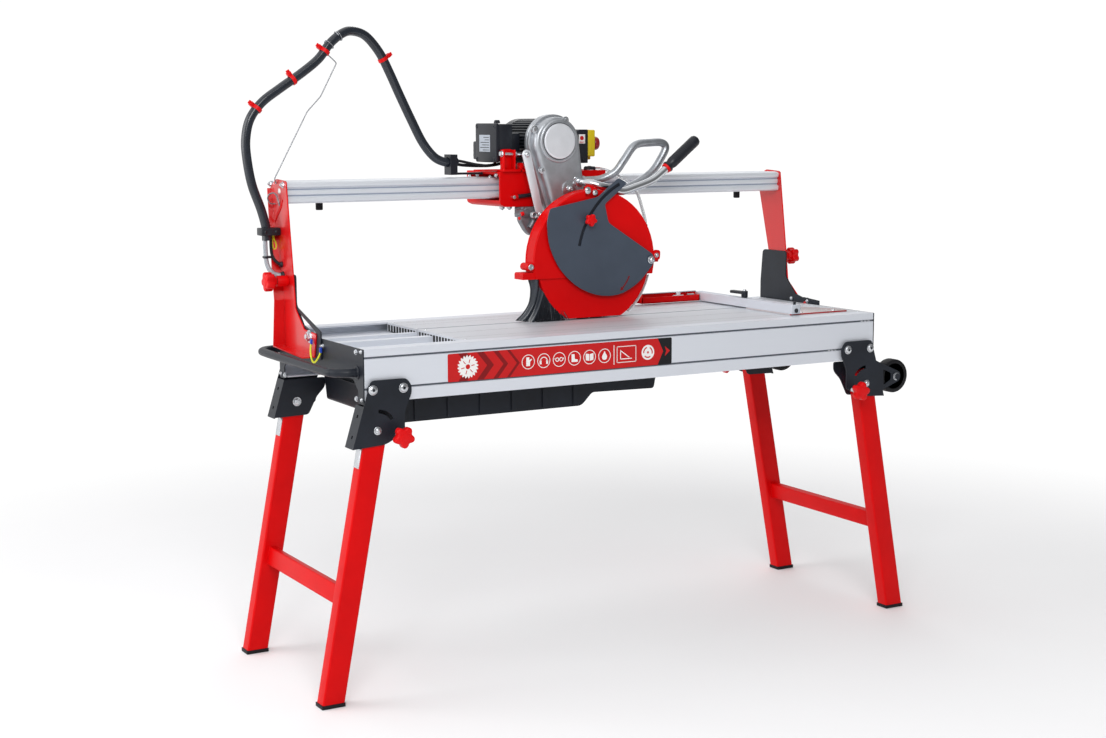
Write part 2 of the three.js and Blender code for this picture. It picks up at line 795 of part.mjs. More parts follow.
// Side fence
function fenceBase() {
  return prismZ(
    outline([[FENCE_X, 72], [1600, 72, 8], [1600, 120], [1480, 290, 20], [FENCE_X, 290]]),
    [TABLE_TOP + GAP, TABLE_TOP + 4]
  );
}

function fenceBar() {
  const z = TABLE_TOP + 4 + GAP;
  const section = outline([
    [FENCE_X, z],
    [FENCE_X + 30, z],
    [FENCE_X + 30, z + 26],
    [FENCE_X + 19, z + 26],
    [FENCE_X + 19, z + 20],
    [FENCE_X + 11, z + 20],
    [FENCE_X + 11, z + 26],
    [FENCE_X, z + 26],
  ]);
  return prismY(section, [66, 560]);
}

function fenceSquare() {
  const z = [TABLE_TOP + 4, TABLE_TOP + 34];
  const x = [1170, FENCE_X - GAP];
  const wedge = prismY(outline([[1112, z[0]], [x[0] + 2, z[0]], [x[0] + 2, z[1]]]), [534, 540]);
  return box(x, [534, 562], z)
    .subtract(box([x[0] + 6, x[1] - 6], [540, 556], [z[0] + 5, z[1] + 9]))
    .add(wedge);
}

function fenceLever() {
  const at = { x: FENCE_X + 15, y: 318 };
  const top = TABLE_TOP + 31;
  const arm = outline([
    [at.x - 8, at.y - 8, 4],
    [at.x + 8, at.y - 8, 4],
    [at.x + 2, at.y + 62, 4],
    [at.x - 16, at.y + 60, 4],
  ]);
  return rodZ(at, 10, [top + GAP, top + 20], 16).add(prismZ(arm, [top + 10, top + 20]));
}

function conduit() {
  const route = [
    [-41, 540, 1150],
    [-41, 540, 1168],
    [-42, 540, 1186],
    [-55, 540, 1235],
    [-79, 540, 1302],
    [-91, 540, 1370],
    [-93, 540, 1423],
    [-80, 540, 1476],
    [-45, 540, 1521],
    [8, 540, 1559],
    [66, 540, 1597],
    [120, 540, 1638],
    [156, 541, 1681],
    [193, 543, 1709],
    [226, 548, 1717],
    [269, 556, 1705],
    [313, 565, 1662],
    [346, 572, 1608],
    [378, 575, 1545],
    [412, 572, 1475],
    [442, 562, 1411],
    [471, 548, 1370],
    [500, 540.5, 1355],
    [520, 540, 1354],
    [540, 540, 1354],
  ];
  return pipe(route, HOSE_RADIUS, 44);
}

// Assembly
const profile = sideProfile();
add('front_profile', profile, ALUMINIUM);
add('back_profile', mirrorY(profile), ALUMINIUM);
add('left_end_plate', endPlate(), BLACK_SHEET);
add('right_end_plate', mirrorX(endPlate()), BLACK_SHEET);
add('table_bed', tableBed(), ALUMINIUM);
add('front_panel', panel([FLANGE + PANEL_JOINT, SLOT_FRONT], 15), ALUMINIUM);
add('back_panel', panel([SLOT_BACK, TABLE_WIDTH - FLANGE - PANEL_JOINT], 10), ALUMINIUM);
add('water_tray', waterTray(), BLACK_PLASTIC);
add('water_pump', waterPump(), BLACK_PLASTIC);
add('lift_handle', liftHandle(), BLACK_SHEET);

const corners = [
  ['left', 'front', (part) => part],
  ['left', 'back', mirrorY],
  ['right', 'front', mirrorX],
  ['right', 'back', (part) => mirrorX(mirrorY(part))],
];
for (const [side, end, place] of corners) {
  const tag = `${end}_${side}`;
  add(`leg_bracket_${tag}`, place(legBracket(side === 'right')), BLACK_SHEET);
  add(`leg_knob_${tag}`, place(knobY(LEG_KNOB, 26, 5, [-60, -38], -7)), RED);
  add(`foot_cap_${tag}`, place(footCap()), RUBBER);
}
add('left_leg_frame', legFrame(), RED);
add('right_leg_frame', mirrorX(legFrame()), RED);
add('front_wheel', wheel(), RUBBER);
add('back_wheel', mirrorY(wheel()), RUBBER);

for (const [side, place] of [['left', (part) => part], ['right', mirrorX]]) {
  add(`mitre_plate_${side}`, place(mitrePlate()), BLACK_SHEET);
  add(`mitre_knob_${side}`, place(mitreKnob()), RED);
  add(`${side}_column`, place(column()), RED);
}
add('rail', rail(), ALUMINIUM);
add('column_hose_clamp', columnHoseClamp(), BLACK_PLASTIC);
add('conduit_hose', conduit(), RUBBER);

add('carriage_block', carriageBlock(), RED);
add('left_roller', roller(665), STEEL);
add('right_roller', roller(930), STEEL);
add('motor_housing', motorHousing(), BLACK_PLASTIC);
add('terminal_box', terminalBox(), BLACK_PLASTIC);
add('switch_box', switchBox(), BLACK_PLASTIC);
add('switch_cover', switchCover(), YELLOW);
add('stop_button', stopButton(), CLEAR_RED);
add('carriage_hose_clamp', carriageHoseClamp(), BLACK_PLASTIC);
add('motor_rotor', motorRotor(), STEEL);

add('belt_case', beltCase(), CAST);
add('drive_belt', driveBelt(), RUBBER);
add('blade_guard', bladeGuard(), RED);
add('handle_bar', handleBar(), CHROME);
add('handle_grip', handleGrip(), BLACK_PLASTIC);
add('loop_handle', loopHandle(), SLATE);
add('lower_guard', lowerGuard(), RED);
add('guard_cover', guardCover(), SLATE);
add('guard_knob', knobY(STAR_KNOB, 18, 5, [258, 274], GUARD.front - GAP, 4), RED);
add('blade', blade(), STEEL);
add('blade_spindle', bladeSpindle(), STEEL);

add('fence_base', fenceBase(), CLEAR_RED);
add('fence_bar', fenceBar(), ALUMINIUM);
add('fence_square', fenceSquare(), RED);
add('fence_lever', fenceLever(), BLACK_PLASTIC);

export default machine;
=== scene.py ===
import math
import random

import bmesh
import bpy
from mathutils import Matrix, Vector


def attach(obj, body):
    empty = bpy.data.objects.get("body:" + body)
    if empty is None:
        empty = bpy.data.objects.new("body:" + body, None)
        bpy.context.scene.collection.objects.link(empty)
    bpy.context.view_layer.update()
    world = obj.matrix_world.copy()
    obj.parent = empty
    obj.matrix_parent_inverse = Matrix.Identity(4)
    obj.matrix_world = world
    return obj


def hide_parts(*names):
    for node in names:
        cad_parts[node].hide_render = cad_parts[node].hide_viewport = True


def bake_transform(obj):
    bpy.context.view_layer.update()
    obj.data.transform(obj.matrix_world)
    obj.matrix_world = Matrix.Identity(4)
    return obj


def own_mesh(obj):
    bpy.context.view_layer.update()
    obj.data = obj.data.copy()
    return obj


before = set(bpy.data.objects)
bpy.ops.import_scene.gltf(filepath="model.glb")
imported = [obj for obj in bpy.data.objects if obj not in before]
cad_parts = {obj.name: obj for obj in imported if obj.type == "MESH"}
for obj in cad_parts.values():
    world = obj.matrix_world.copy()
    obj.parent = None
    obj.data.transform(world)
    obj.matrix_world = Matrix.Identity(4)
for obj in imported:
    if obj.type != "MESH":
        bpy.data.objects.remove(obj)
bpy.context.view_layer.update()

# Pieces are drawn in the table frame in millimetres: x = 0 at the left end plate, y = 0 at the front
# face, z = 0 at the floor. The row frame has its origin under the middle of the table, in metres.
LENGTH, WIDTH, TOP = 1640.0, 573.0, 907.0
TO_ROW = Matrix.Scale(0.001, 4) @ Matrix.Translation((-LENGTH / 2, -WIDTH / 2, 0))
LEFT, RIGHT, FRONT, BACK, DOWN, UP = (-1, 0, 0), (1, 0, 0), (0, -1, 0), (0, 1, 0), (0, 0, -1), (0, 0, 1)


def row(x, y, z):
    return TO_ROW @ Vector((x, y, z))


# ------------------------------------------------------------------ camera
CAMERA_AT = (-2.5713, -4.2843, 1.4701)
YAW, PITCH, ROLL = 29.978, 8.035, -0.148

camera_data = bpy.data.cameras.new("camera")
camera_data.lens = 57.2
camera_data.sensor_width = 36.0
camera_data.shift_x = -0.0026
camera = bpy.data.objects.new("camera", camera_data)
bpy.context.scene.collection.objects.link(camera)
camera.matrix_world = Matrix.Translation(CAMERA_AT)
for degrees, axis in ((-YAW, "Z"), (90 - PITCH, "X"), (ROLL, "Z")):
    camera.matrix_world = camera.matrix_world @ Matrix.Rotation(math.radians(degrees), 4, axis)
bpy.context.scene.camera = camera


# ------------------------------------------------------------------ outlines and paths
def polar(centre, radius, angle):
    return (centre[0] + radius * math.cos(angle), centre[1] + radius * math.sin(angle))


def circle(radius, sides, centre=(0, 0)):
    return [polar(centre, radius, i * 2 * math.pi / sides) for i in range(sides)]


def oblong(u, v, *radii):
    """A rectangle's corners, with one radius for all or one for each."""
    corners = [(u[0], v[0]), (u[1], v[0]), (u[1], v[1]), (u[0], v[1])]
    return [(*c, r) for c, r in zip(corners, radii * (4 // len(radii)))] if radii else corners


def quadratic(a, b, c, t):
    return a * (1 - t) ** 2 + b * 2 * t * (1 - t) + c * t * t


def rounded(corners, steps=4):
    """Corners (u, v) or (u, v, radius) as a closed outline with its corners rounded."""
    out = []
    for i, corner in enumerate(corners):
        if len(corner) < 3 or not corner[2]:
            out.append(corner[:2])
            continue
        here = Vector(corner[:2])
        before = Vector(corners[i - 1][:2]) - here
        after = Vector(corners[(i + 1) % len(corners)][:2]) - here
        r = min(corner[2], 0.48 * before.length, 0.48 * after.length)
        a, b = here + before.normalized() * r, here + after.normalized() * r
        out += [tuple(quadratic(a, here, b, k / steps)) for k in range(steps + 1)]
    return out


def round_two(a, radius_a, b, radius_b, steps=20):
    """The outline round two circles (u, v) and their outer tangents."""
    along = math.atan2(b[1] - a[1], b[0] - a[0])
    spread = math.acos((radius_a - radius_b) / math.dist(a, b))
    arcs = ((a, radius_a, along + spread, along - spread + 2 * math.pi),
            (b, radius_b, along - spread, along + spread))
    return [polar(centre, radius, start + (end - start) * i / steps)
            for centre, radius, start, end in arcs for i in range(steps + 1)]


def smooth_path(points, per_span=8):
    """Points along a Catmull-Rom curve through points, the same one that the CAD source uses."""
    pts = [Vector(p) for p in points]
    pts = [2 * pts[0] - pts[1], *pts, 2 * pts[-1] - pts[-2]]
    out = []
    for a, b, c, d in zip(pts, pts[1:], pts[2:], pts[3:]):
        for t in (i / per_span for i in range(per_span)):
            cubic = (2 * b + (c - a) * t + (2 * a - 5 * b + 4 * c - d) * t * t
                     + (3 * b - a - 3 * c + d) * t * t * t)
            out.append(0.5 * cubic)
    return out + [pts[-2]]


def bent(corners, reach=5.0, steps=5):
    """A line through corners, straight between short bends."""
    pts = [Vector(p) for p in corners]
    out = [pts[0]]
    for a, b, c in zip(pts, pts[1:], pts[2:]):
        start = b + (a - b).normalized() * min(reach, 0.45 * (a - b).length)
        end = b + (c - b).normalized() * min(reach, 0.45 * (c - b).length)
        out += [quadratic(start, b, end, k / steps) for k in range(steps + 1)]
    return out + [pts[-1]]


# ------------------------------------------------------------------ shapes
def facing(at, axis):
    return Matrix.Translation(at) @ Vector(axis).to_track_quat("Z", "Y").to_matrix().to_4x4()


def soften(bm, width, steps=2, sharper_than=25):
    """Rounds every edge that turns by more than sharper_than degrees."""
    limit = math.radians(sharper_than)
    sharp = [e for e in bm.edges if len(e.link_faces) == 2 and e.calc_face_angle(0) > limit]
    bmesh.ops.bevel(bm, geom=sharp, offset=width, segments=steps, profile=0.5, affect="EDGES",
                    clamp_overlap=True)


def skin(bm, rings, caps=True):
    """Faces from each ring of vertices to the next, and over both ends."""
    for low, high in zip(rings, rings[1:]):
        for face in zip(low, low[1:] + low[:1], high[1:] + high[:1], high):
            bm.faces.new(face)
    if caps:
        bm.faces.new(rings[0])
        bm.faces.new(rings[-1])


class Shape:
    """One piece's mesh, gathered from simple solids."""

    def __init__(self):
        self.bm = bmesh.new()
        self.bm.loops.layers.uv.new("UVMap")

    def take(self, bm, matrix=None):
        if matrix is not None:
            bm.transform(matrix)
        bmesh.ops.recalc_face_normals(bm, faces=bm.faces[:])
        mesh = bpy.data.meshes.new("gathered")
        bm.to_mesh(mesh)
        bm.free()
        self.bm.from_mesh(mesh)
        bpy.data.meshes.remove(mesh)
        return self

    def box(self, x, y, z, soft=1.0, steps=2, matrix=None):
        bm = bmesh.new()
        size = Vector((x[1] - x[0], y[1] - y[0], z[1] - z[0]))
        middle = Vector((x[1] + x[0], y[1] + y[0], z[1] + z[0])) / 2
        bmesh.ops.create_cube(bm, size=1)
        bm.transform(Matrix.Translation(middle) @ Matrix.Diagonal((*size, 1)))
        if soft:
            soften(bm, soft, steps)
        return self.take(bm, matrix)

    def prism(self, points, axis, span, soft=0.0, steps=2, matrix=None):
        """A prism along axis; points give the other two coordinates in x, y, z order."""
        order = {"x": lambda p, s: (s, *p), "y": lambda p, s: (p[0], s, p[1]),
                 "z": lambda p, s: (*p, s)}[axis]
        bm = bmesh.new()
        low, high = ([bm.verts.new(order(p, s)) for p in points] for s in span)
        bm.faces.new(low)
        bm.faces.new(high[::-1])
        skin(bm, [low, high], caps=False)
        bmesh.ops.recalc_face_normals(bm, faces=bm.faces[:])
        if soft:
            soften(bm, soft, steps)
        return self.take(bm, matrix)

    def turn(self, profile, at, axis=UP, segments=32, radius_at=None):
        """A turned solid: profile is (height along axis, radius), from one end to the other."""
        bm = bmesh.new()
        rings = []
        for height, radius in profile:
            ring = []
            for angle in (2 * math.pi * i / segments for i in range(segments if radius > 0 else 1)):
                r = radius * (radius_at(angle) if radius_at else 1)
                ring.append(bm.verts.new((*polar((0, 0), r, angle), height)))
            rings.append(ring)
        for a, b in zip(rings, rings[1:]):
            for i in range(segments if len(a) + len(b) > 2 else 0):
                j = (i + 1) % segments
                if len(a) == 1:
                    bm.faces.new((a[0], b[j], b[i]))
                elif len(b) == 1:
                    bm.faces.new((a[i], a[j], b[0]))
                else:
                    bm.faces.new((a[i], a[j], b[j], b[i]))
        for ring in (rings[0], rings[-1]):
            if len(ring) > 1:
                bm.faces.new(ring)
        return self.take(bm, facing(at, axis))

    def peg(self, profile, at, axis, segments=32):
        """A turned solid closed by flat ends."""
        return self.turn([(profile[0][0], 0), *profile, (profile[-1][0], 0)], at, axis, segments)

    def sweep(self, path, section, up=BACK):
        """A section carried along a path of points, with u round it and v along it in metres."""
        bm = bmesh.new()
        uv = bm.loops.layers.uv.new("UVMap")
        path = [Vector(p) for p in path]
        normal = None
        rings, lengths = [], [0.0]
        for i, p in enumerate(path):
            along = (path[min(i + 1, len(path) - 1)] - path[max(i - 1, 0)]).normalized()
            if normal is None:
                normal = Vector(up) - along * along.dot(Vector(up))
                if normal.length < 1e-3:
                    normal = along.orthogonal()
            normal = (normal - along * along.dot(normal)).normalized()
            side = along.cross(normal)
            rings.append([bm.verts.new(p + normal * u + side * v) for u, v in section])
            if i:
                lengths.append(lengths[-1] + (p - path[i - 1]).length / 1000)
        n = len(section)
        for r, (low, high) in enumerate(zip(rings, rings[1:])):
            for i in range(n):
                j = (i + 1) % n
                face = bm.faces.new((low[i], low[j], high[j], high[i]))
                for loop, (u, v) in zip(face.loops, ((i, r), (i + 1, r), (i + 1, r + 1), (i, r + 1))):
                    loop[uv].uv = (u / n, lengths[v])
        bm.faces.new(rings[0])
        bm.faces.new(rings[-1])
        return self.take(bm)

    def tube(self, path, radius, sides=20, per_span=8, up=BACK):
        return self.sweep(smooth_path(path, per_span), circle(radius, sides), up)

    def loft(self, rings):
        """Skins a stack of matching rings of points."""
        bm = bmesh.new()
        skin(bm, [[bm.verts.new(p) for p in ring] for ring in rings])
        return self.take(bm)

    def slab(self, rows, offset):
        """A sheet between a grid of points and its copy moved by offset."""
        bm = bmesh.new()
        front = [[bm.verts.new(p) for p in ring] for ring in rows]
        rear = [[bm.verts.new([c + d for c, d in zip(p, offset)]) for p in ring] for ring in rows]
        high, wide = len(rows), len(rows[0])
        for k in range(high - 1):
            for m in range(wide - 1):
                bm.faces.new((front[k][m], front[k][m + 1], front[k + 1][m + 1], front[k + 1][m]))
                bm.faces.new((rear[k][m], rear[k + 1][m], rear[k + 1][m + 1], rear[k][m + 1]))
            for m in (0, wide - 1):
                bm.faces.new((front[k][m], front[k + 1][m], rear[k + 1][m], rear[k][m]))
        for m in range(wide - 1):
            for k in (0, high - 1):
                bm.faces.new((front[k][m], front[k][m + 1], rear[k][m + 1], rear[k][m]))
        return self.take(bm)

    def button(self, at, axis, radius, washer=1.35, height=1.0):
        """A button-head screw on its washer; the head's radii are fractions of its own."""
        if washer:
            rim = radius * washer
            self.peg([(-0.4, rim), (1.4, rim), (1.8, rim - 0.6)], at, axis)
        head = [(h * radius / 8 * height + (1.4 if washer else 0), r * radius) for h, r in BUTTON_HEAD]
        return self.turn([(0, 0), *head], at, axis, 24)

    def hexagon(self, at, axis, radius, height, bore=0.0, washer=0.0, turn=0.3):
        """A chamfered hexagon nut or head, with a threaded end standing out of it if it has a bore."""
        start = 1.5 if washer else 0.0
        if washer:
            self.peg([(-0.4, washer), (1.6, washer)], at, axis)

        def six(angle):
            return math.cos(math.pi / 6) / math.cos((angle + turn) % (math.pi / 3) - math.pi / 6)

        self.turn([(start - 0.3, 0), (start - 0.3, radius), (start + height * 0.8, radius),
                   (start + height, radius * 0.86), (start + height, 0)], at, axis, 48, six)
        if bore:
            end = start + height + 3.2
            self.peg([(start, bore), (start + height + 2.4, bore), (end, bore - 0.8)], at, axis, 20)
        return self

    def mirror(self, planes):
        """The mirror image, across the table's middle in x, in y or in both."""
        for plane in planes:
            scale, shift = {"x": ((-1, 1, 1), (LENGTH, 0, 0)), "y": ((1, -1, 1), (0, WIDTH, 0))}[plane]
            self.bm.transform(Matrix.Translation(shift) @ Matrix.Diagonal((*scale, 1)))
            bmesh.ops.reverse_faces(self.bm, faces=self.bm.faces[:])
        return self

    def make(self, name, material, body, slot=None, stands_for=None, smooth=35):
        """The finished piece. Its slot, the one given or its material's own, is worked out but not kept."""
        mesh = bpy.data.meshes.new(name)
        self.bm.transform(TO_ROW)
        self.bm.to_mesh(mesh)
        self.bm.free()
        mesh.materials.append(material)
        mesh.shade_smooth()
        mesh.set_sharp_from_angle(angle=math.radians(smooth))
        piece = bpy.data.objects.new(name, mesh)
        bpy.context.scene.collection.objects.link(piece)
        if body:
            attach(piece, body)
        slot = slot or SLOT_OF.get(material.name)
        if stands_for:
            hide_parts(stands_for)
        return piece


BUTTON_HEAD = [(0, 1.0), (3.2, 1.0), (5.6, 0.86), (7.0, 0.58), (7.4, 0.34), (5.2, 0.30), (5.0, 0)]
SIDES = (("left", ""), ("right", "x"))
ENDS = (("front", ""), ("back", "y"))
CORNERS = [(end, side, y + x) for end, y in ENDS for side, x in SIDES]


def lead(name, route, radius, material, body, bend=None):
    """A wire, cable or water tube. One that crosses a joint is given two bodies and a bend, the stretch
    between them, and is then attached to no body."""
    line = smooth_path(route)
    piece = Shape().sweep(line, circle(radius, 18)).make(name, material, None if bend else body)
    if bend:
        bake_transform(piece)


# ------------------------------------------------------------------ materials
SLOT_OF = {}


def surface(name, slot, colour, rough=0.5, metal=0.0, vary=0.05, patch=12.0, grain=900.0, bump=0.1,
            depth=0.0002, stretch=(1, 1, 1), rough_vary=0.06, coat=0.0, shine=0.5, see_through=0.0,
            by_uv=False):
    """A finish with patchy colour and roughness, and a fine grain in its relief."""
    material = bpy.data.materials.new(name)
    # Blender adds a number to a name that a CAD material already has
    SLOT_OF[material.name] = slot
    material.use_nodes = True
    material.diffuse_color = (*colour, 1)
    nodes, link = material.node_tree.nodes, material.node_tree.links.new
    bsdf = nodes["Principled BSDF"]

    def node(kind, **values):
        made = nodes.new("ShaderNode" + kind)
        for key, value in values.items():
            made.inputs[key.replace("_", " ")].default_value = value
        return made

    for key, value in (("Metallic", metal), ("Specular IOR Level", shine), ("Coat Weight", coat),
                       ("Coat Roughness", 0.12), ("Transmission Weight", see_through)):
        bsdf.inputs[key].default_value = value
    where = node("TexCoord")
    mapping = node("Mapping", Scale=stretch)
    link(where.outputs["UV" if by_uv else "Object"], mapping.inputs["Vector"])

    def noise(scale, detail):
        made = node("TexNoise", Scale=scale, Detail=detail)
        link(mapping.outputs["Vector"], made.inputs["Vector"])
        return made.outputs["Fac"]

    def remap(value, low, high):
        made = node("MapRange", From_Min=0.3, From_Max=0.7, To_Min=low, To_Max=high)
        link(value, made.inputs["Value"])
        return made.outputs["Result"]

    patches = noise(patch, 3.0)
    mix = nodes.new("ShaderNodeMix")
    mix.data_type = "RGBA"
    mix.inputs["A"].default_value = (*[max(0.0, c * (1 - vary)) for c in colour], 1)
    mix.inputs["B"].default_value = (*[min(1.0, c * (1 + vary)) for c in colour], 1)
    link(remap(patches, 0, 1), mix.inputs["Factor"])
    link(mix.outputs["Result"], bsdf.inputs["Base Color"])
    fine = noise(grain, 2.0)
    link(remap(fine, max(0.02, rough - rough_vary), min(1.0, rough + rough_vary)), bsdf.inputs["Roughness"])
    relief = node("Bump", Strength=bump, Distance=depth)
    link(fine, relief.inputs["Height"])
    link(relief.outputs["Normal"], bsdf.inputs["Normal"])
    return material


def metal(name, slot, colour, *numbers, **more):
    """The numbers are rough, metal, vary, patch, grain, bump and depth."""
    return surface(name, slot, colour, *numbers, **more)


def paint(name, slot, colour, rough, vary=0.05, grain=900, bump=0.1, **more):
    return surface(name, slot, colour, rough, vary=vary, grain=grain, bump=bump, **more)


RED = paint("red_powder_coat", "red_paint", (0.62, 0.0004, 0.0012), 0.40, 0.05, 1400, 0.12, shine=0.12)
RED_GLOSS = paint("red_gloss_coat", None, (0.58, 0.0008, 0.0018), 0.30, 0.05, 1400, coat=0.35)
RED_SHEET = paint("red_sheet_paint", "red_paint", (0.64, 0.0006, 0.0014), 0.42, 0.04, 1100, 0.12, shine=0.14)
RED_PLASTIC = paint("red_moulded", "red_plastic", (0.66, 0.0015, 0.003), 0.42, 0.05, 1800, 0.12, shine=0.22)
# Near-black for strips in the profile slots and in the gaps beside the panels: painted shade.
SEAM_SHADE = paint("seam_shade", "black_rubber", (0.085, 0.095, 0.115), 0.6, 0.1, 600, patch=20, shine=0.2)
FLAP_RUBBER = paint("flap_rubber", "black_rubber", (0.030, 0.036, 0.047), 0.26, 0.15, bump=0.15, patch=40)
# Pale grey for bristles scattered through the black brush: painted highlights.
BRISTLE_GLINT = paint("bristle_painted_glint", "black_rubber", (0.16, 0.17, 0.19), 0.4, 0.3, 1500, patch=400)
BRISTLE = paint("nylon_bristle", "black_rubber", (0.013, 0.015, 0.020), 0.40, 0.4, 1500, patch=400, shine=0.3)
MOTOR_BLACK = paint("motor_paint", "motor_black", (0.012, 0.015, 0.021), 0.36, 0.18, 1300, 0.2, shine=0.4)
SWITCH_GREEN = paint("green_moulded", None, (0.01, 0.22, 0.05), 0.4, 0.06, 1500)
BLACK_SHEET = paint("black_powder_coat", "black_sheet", (0.010, 0.013, 0.020), 0.42, 0.2, 1500, 0.25,
                    shine=0.3)
BLACK_PLASTIC = paint("black_moulded", "black_plastic", (0.009, 0.011, 0.017), 0.38, 0.2, 2200, 0.2,
                      shine=0.4)
TRAY_PLASTIC = paint("tray_plastic", None, (0.006, 0.008, 0.013), 0.42, 0.25, 1200, 0.2, patch=8, shine=0.28)
RUBBER = paint("black_rubber", "black_rubber", (0.007, 0.007, 0.009), 0.6, 0.2, 1500, 0.3, shine=0.25)
HOSE = paint("conduit_sleeve", "black_rubber", (0.012, 0.016, 0.024), 0.27, 0.25, 40, patch=2,
             stretch=(4, 12, 1), by_uv=True, rough_vary=0.05, shine=0.6)
YELLOW = paint("yellow_moulded", "yellow_plastic", (0.66, 0.50, 0.004), 0.45, 0.06, 1800, 0.15)
STOP_RED = paint("stop_red", "stop_red", (0.30, 0.004, 0.006), 0.32, 0.08, 1500, coat=0.3)
VINYL = paint("clear_vinyl", None, (0.86, 0.88, 0.90), 0.16, 0.03, bump=0.05, see_through=0.75)
VINYL_GREY = paint("grey_vinyl", None, (0.42, 0.46, 0.50), 0.25, 0.08, bump=0.06, patch=60, see_through=0.35)
PALE_VINYL = paint("pale_vinyl", None, (0.78, 0.80, 0.83), 0.35, 0.04, see_through=0.25)
PALE_ACRYLIC = paint("pale_acrylic", None, (0.80, 0.72, 0.73), 0.30, bump=0.05, patch=20, see_through=0.3)
SCALE_RED = paint("red_acrylic", None, (0.42, 0.006, 0.008), 0.2, 0.06, 700, 0.04, coat=0.4)
PRINT_RED = paint("printed_red", None, (0.50, 0.009, 0.010), 0.42, 0.03, 1600, 0.05, shine=0.25)
PRINT_DARK = paint("printed_dark_red", None, (0.20, 0.004, 0.006), 0.42, 0.04, 1600, 0.05, shine=0.25)
PRINT_BLACK = paint("printed_black", None, (0.008, 0.008, 0.010), 0.42, 0.1, 1600, 0.05, shine=0.25)
PRINT_WHITE = paint("printed_white", None, (0.80, 0.79, 0.78), 0.42, 0.02, 1600, 0.05)
EARTH_YELLOW = paint("earth_wire", None, (0.62, 0.62, 0.01), 0.45, 0.2, patch=300)
TERMINAL_BLUE = paint("blue_terminal", None, (0.01, 0.05, 0.42), 0.4)
ALUMINIUM = metal("anodised_aluminium", "aluminium_profile", (0.70, 0.73, 0.79), 0.42, 0.35, 0.02, 5, 240,
                  0.04, stretch=(0.03, 1, 1), rough_vary=0.05)
RAIL_ALUMINIUM = metal("rail_aluminium", "aluminium_profile", (0.74, 0.77, 0.82), 0.42, 0.35, 0.015, 3, 60,
                       0.006, stretch=(0.05, 1, 1), rough_vary=0.012)
# Dark grey for strips laid in the rail's grooves: painted shade.
RAIL_SHADE = metal("rail_groove_painted_shade", "aluminium_profile", (0.26, 0.30, 0.38), 0.5, 0.1, 0.03, 3, 60, 0.006,
                   stretch=(0.05, 1, 1))
PANEL = metal("extruded_top", None, (0.60, 0.62, 0.66), 0.50, 0.30, 0.03, 9, 300, 0.05, stretch=(0.02, 1, 1))
CAST = metal("cast_aluminium", "cast_aluminium", (0.44, 0.46, 0.49), 0.40, 0.75, 0.16, 26, 420, 0.35, 0.0004,
             rough_vary=0.12)
CAST_GREY = metal("sand_casting", "cast_aluminium", (0.20, 0.21, 0.23), 0.48, 0.7, 0.2, 60, 500, 0.4, 0.0004,
                  rough_vary=0.1)
CAST_DARK = metal("dark_casting", "cast_aluminium", (0.10, 0.105, 0.115), 0.42, 0.8, 0.15, 40, 800, 0.3,
                  0.0003, rough_vary=0.1)
WIRE = metal("spring_wire", "steel", (0.30, 0.31, 0.33), 0.35, 0.9, 0.1, 80, 900, 0.05)
TURNED = metal("turned_aluminium", "steel", (0.78, 0.80, 0.84), 0.42, 0.45, 0.03, 30, 160, 0.03,
               rough_vary=0.04)
STEEL = metal("zinc_plated", "steel", (0.62, 0.64, 0.67), 0.28, 0.95, 0.10, 60, 900, 0.1, rough_vary=0.08)
GALVANISED = metal("galvanised_tube", "slate_paint", (0.40, 0.42, 0.45), 0.38, 0.9, 0.12, 45, 700, 0.15,
                   rough_vary=0.12)
CHROME = metal("chrome_tube", "chrome_tube", (0.62, 0.64, 0.67), 0.17, 1.0, 0.05, 30, 500, 0.05,
               rough_vary=0.05)
SLATE = metal("slate_paint", None, (0.060, 0.078, 0.110), 0.42, 0.25, 0.06, 14, 1300, 0.15, coat=0.15)
PLATE = metal("rating_plate", None, (0.42, 0.46, 0.52), 0.45, 0.2, 0.05, 60, 900, 0.08)

# ------------------------------------------------------------------ hose, first of the pieces
HOSE_ROUTE = [
    (-41, 540, 1150), (-41, 540, 1168), (-42, 540, 1186), (-55, 540, 1235), (-79, 540, 1302),
    (-91, 540, 1370), (-93, 540, 1423), (-80, 540, 1476), (-45, 540, 1521), (8, 540, 1559), (66, 540, 1597),
    (120, 540, 1638), (156, 541, 1681), (193, 543, 1709), (226, 548, 1717), (269, 556, 1705),
    (313, 565, 1662), (346, 572, 1608), (378, 575, 1545), (412, 572, 1475), (442, 562, 1411),
    (471, 548, 1370), (500, 540.5, 1355), (520, 540, 1354), (540, 540, 1354),
]
HOSE_RADIUS = 13.0
HOSE_SIDES, HOSE_LOBES, LOBE_DEPTH = 40, 5, 0.07
# where each tie sits, in points along the hose, and whether it is beyond the wire
TIES = ((61, "bridge"), (77, "bridge"), (92, "bridge"), (131, None))
hose_line = smooth_path(HOSE_ROUTE)
lobes = []
for i in range(HOSE_SIDES):
    angle = 2 * math.pi * i / HOSE_SIDES
    dip = LOBE_DEPTH * (0.5 - 0.5 * math.cos(HOSE_LOBES * angle))
    lobes.append(polar((0, 0), HOSE_RADIUS * (1 - dip), angle))
hose = Shape().sweep(hose_line, lobes).make("conduit", HOSE, None)


def hose_frame(index):
    """A point of the hose, the way along it and the way out of its bend."""
    along = (hose_line[index + 1] - hose_line[index - 1]).normalized()
    return hose_line[index], along, along.cross(Vector(BACK)).normalized()


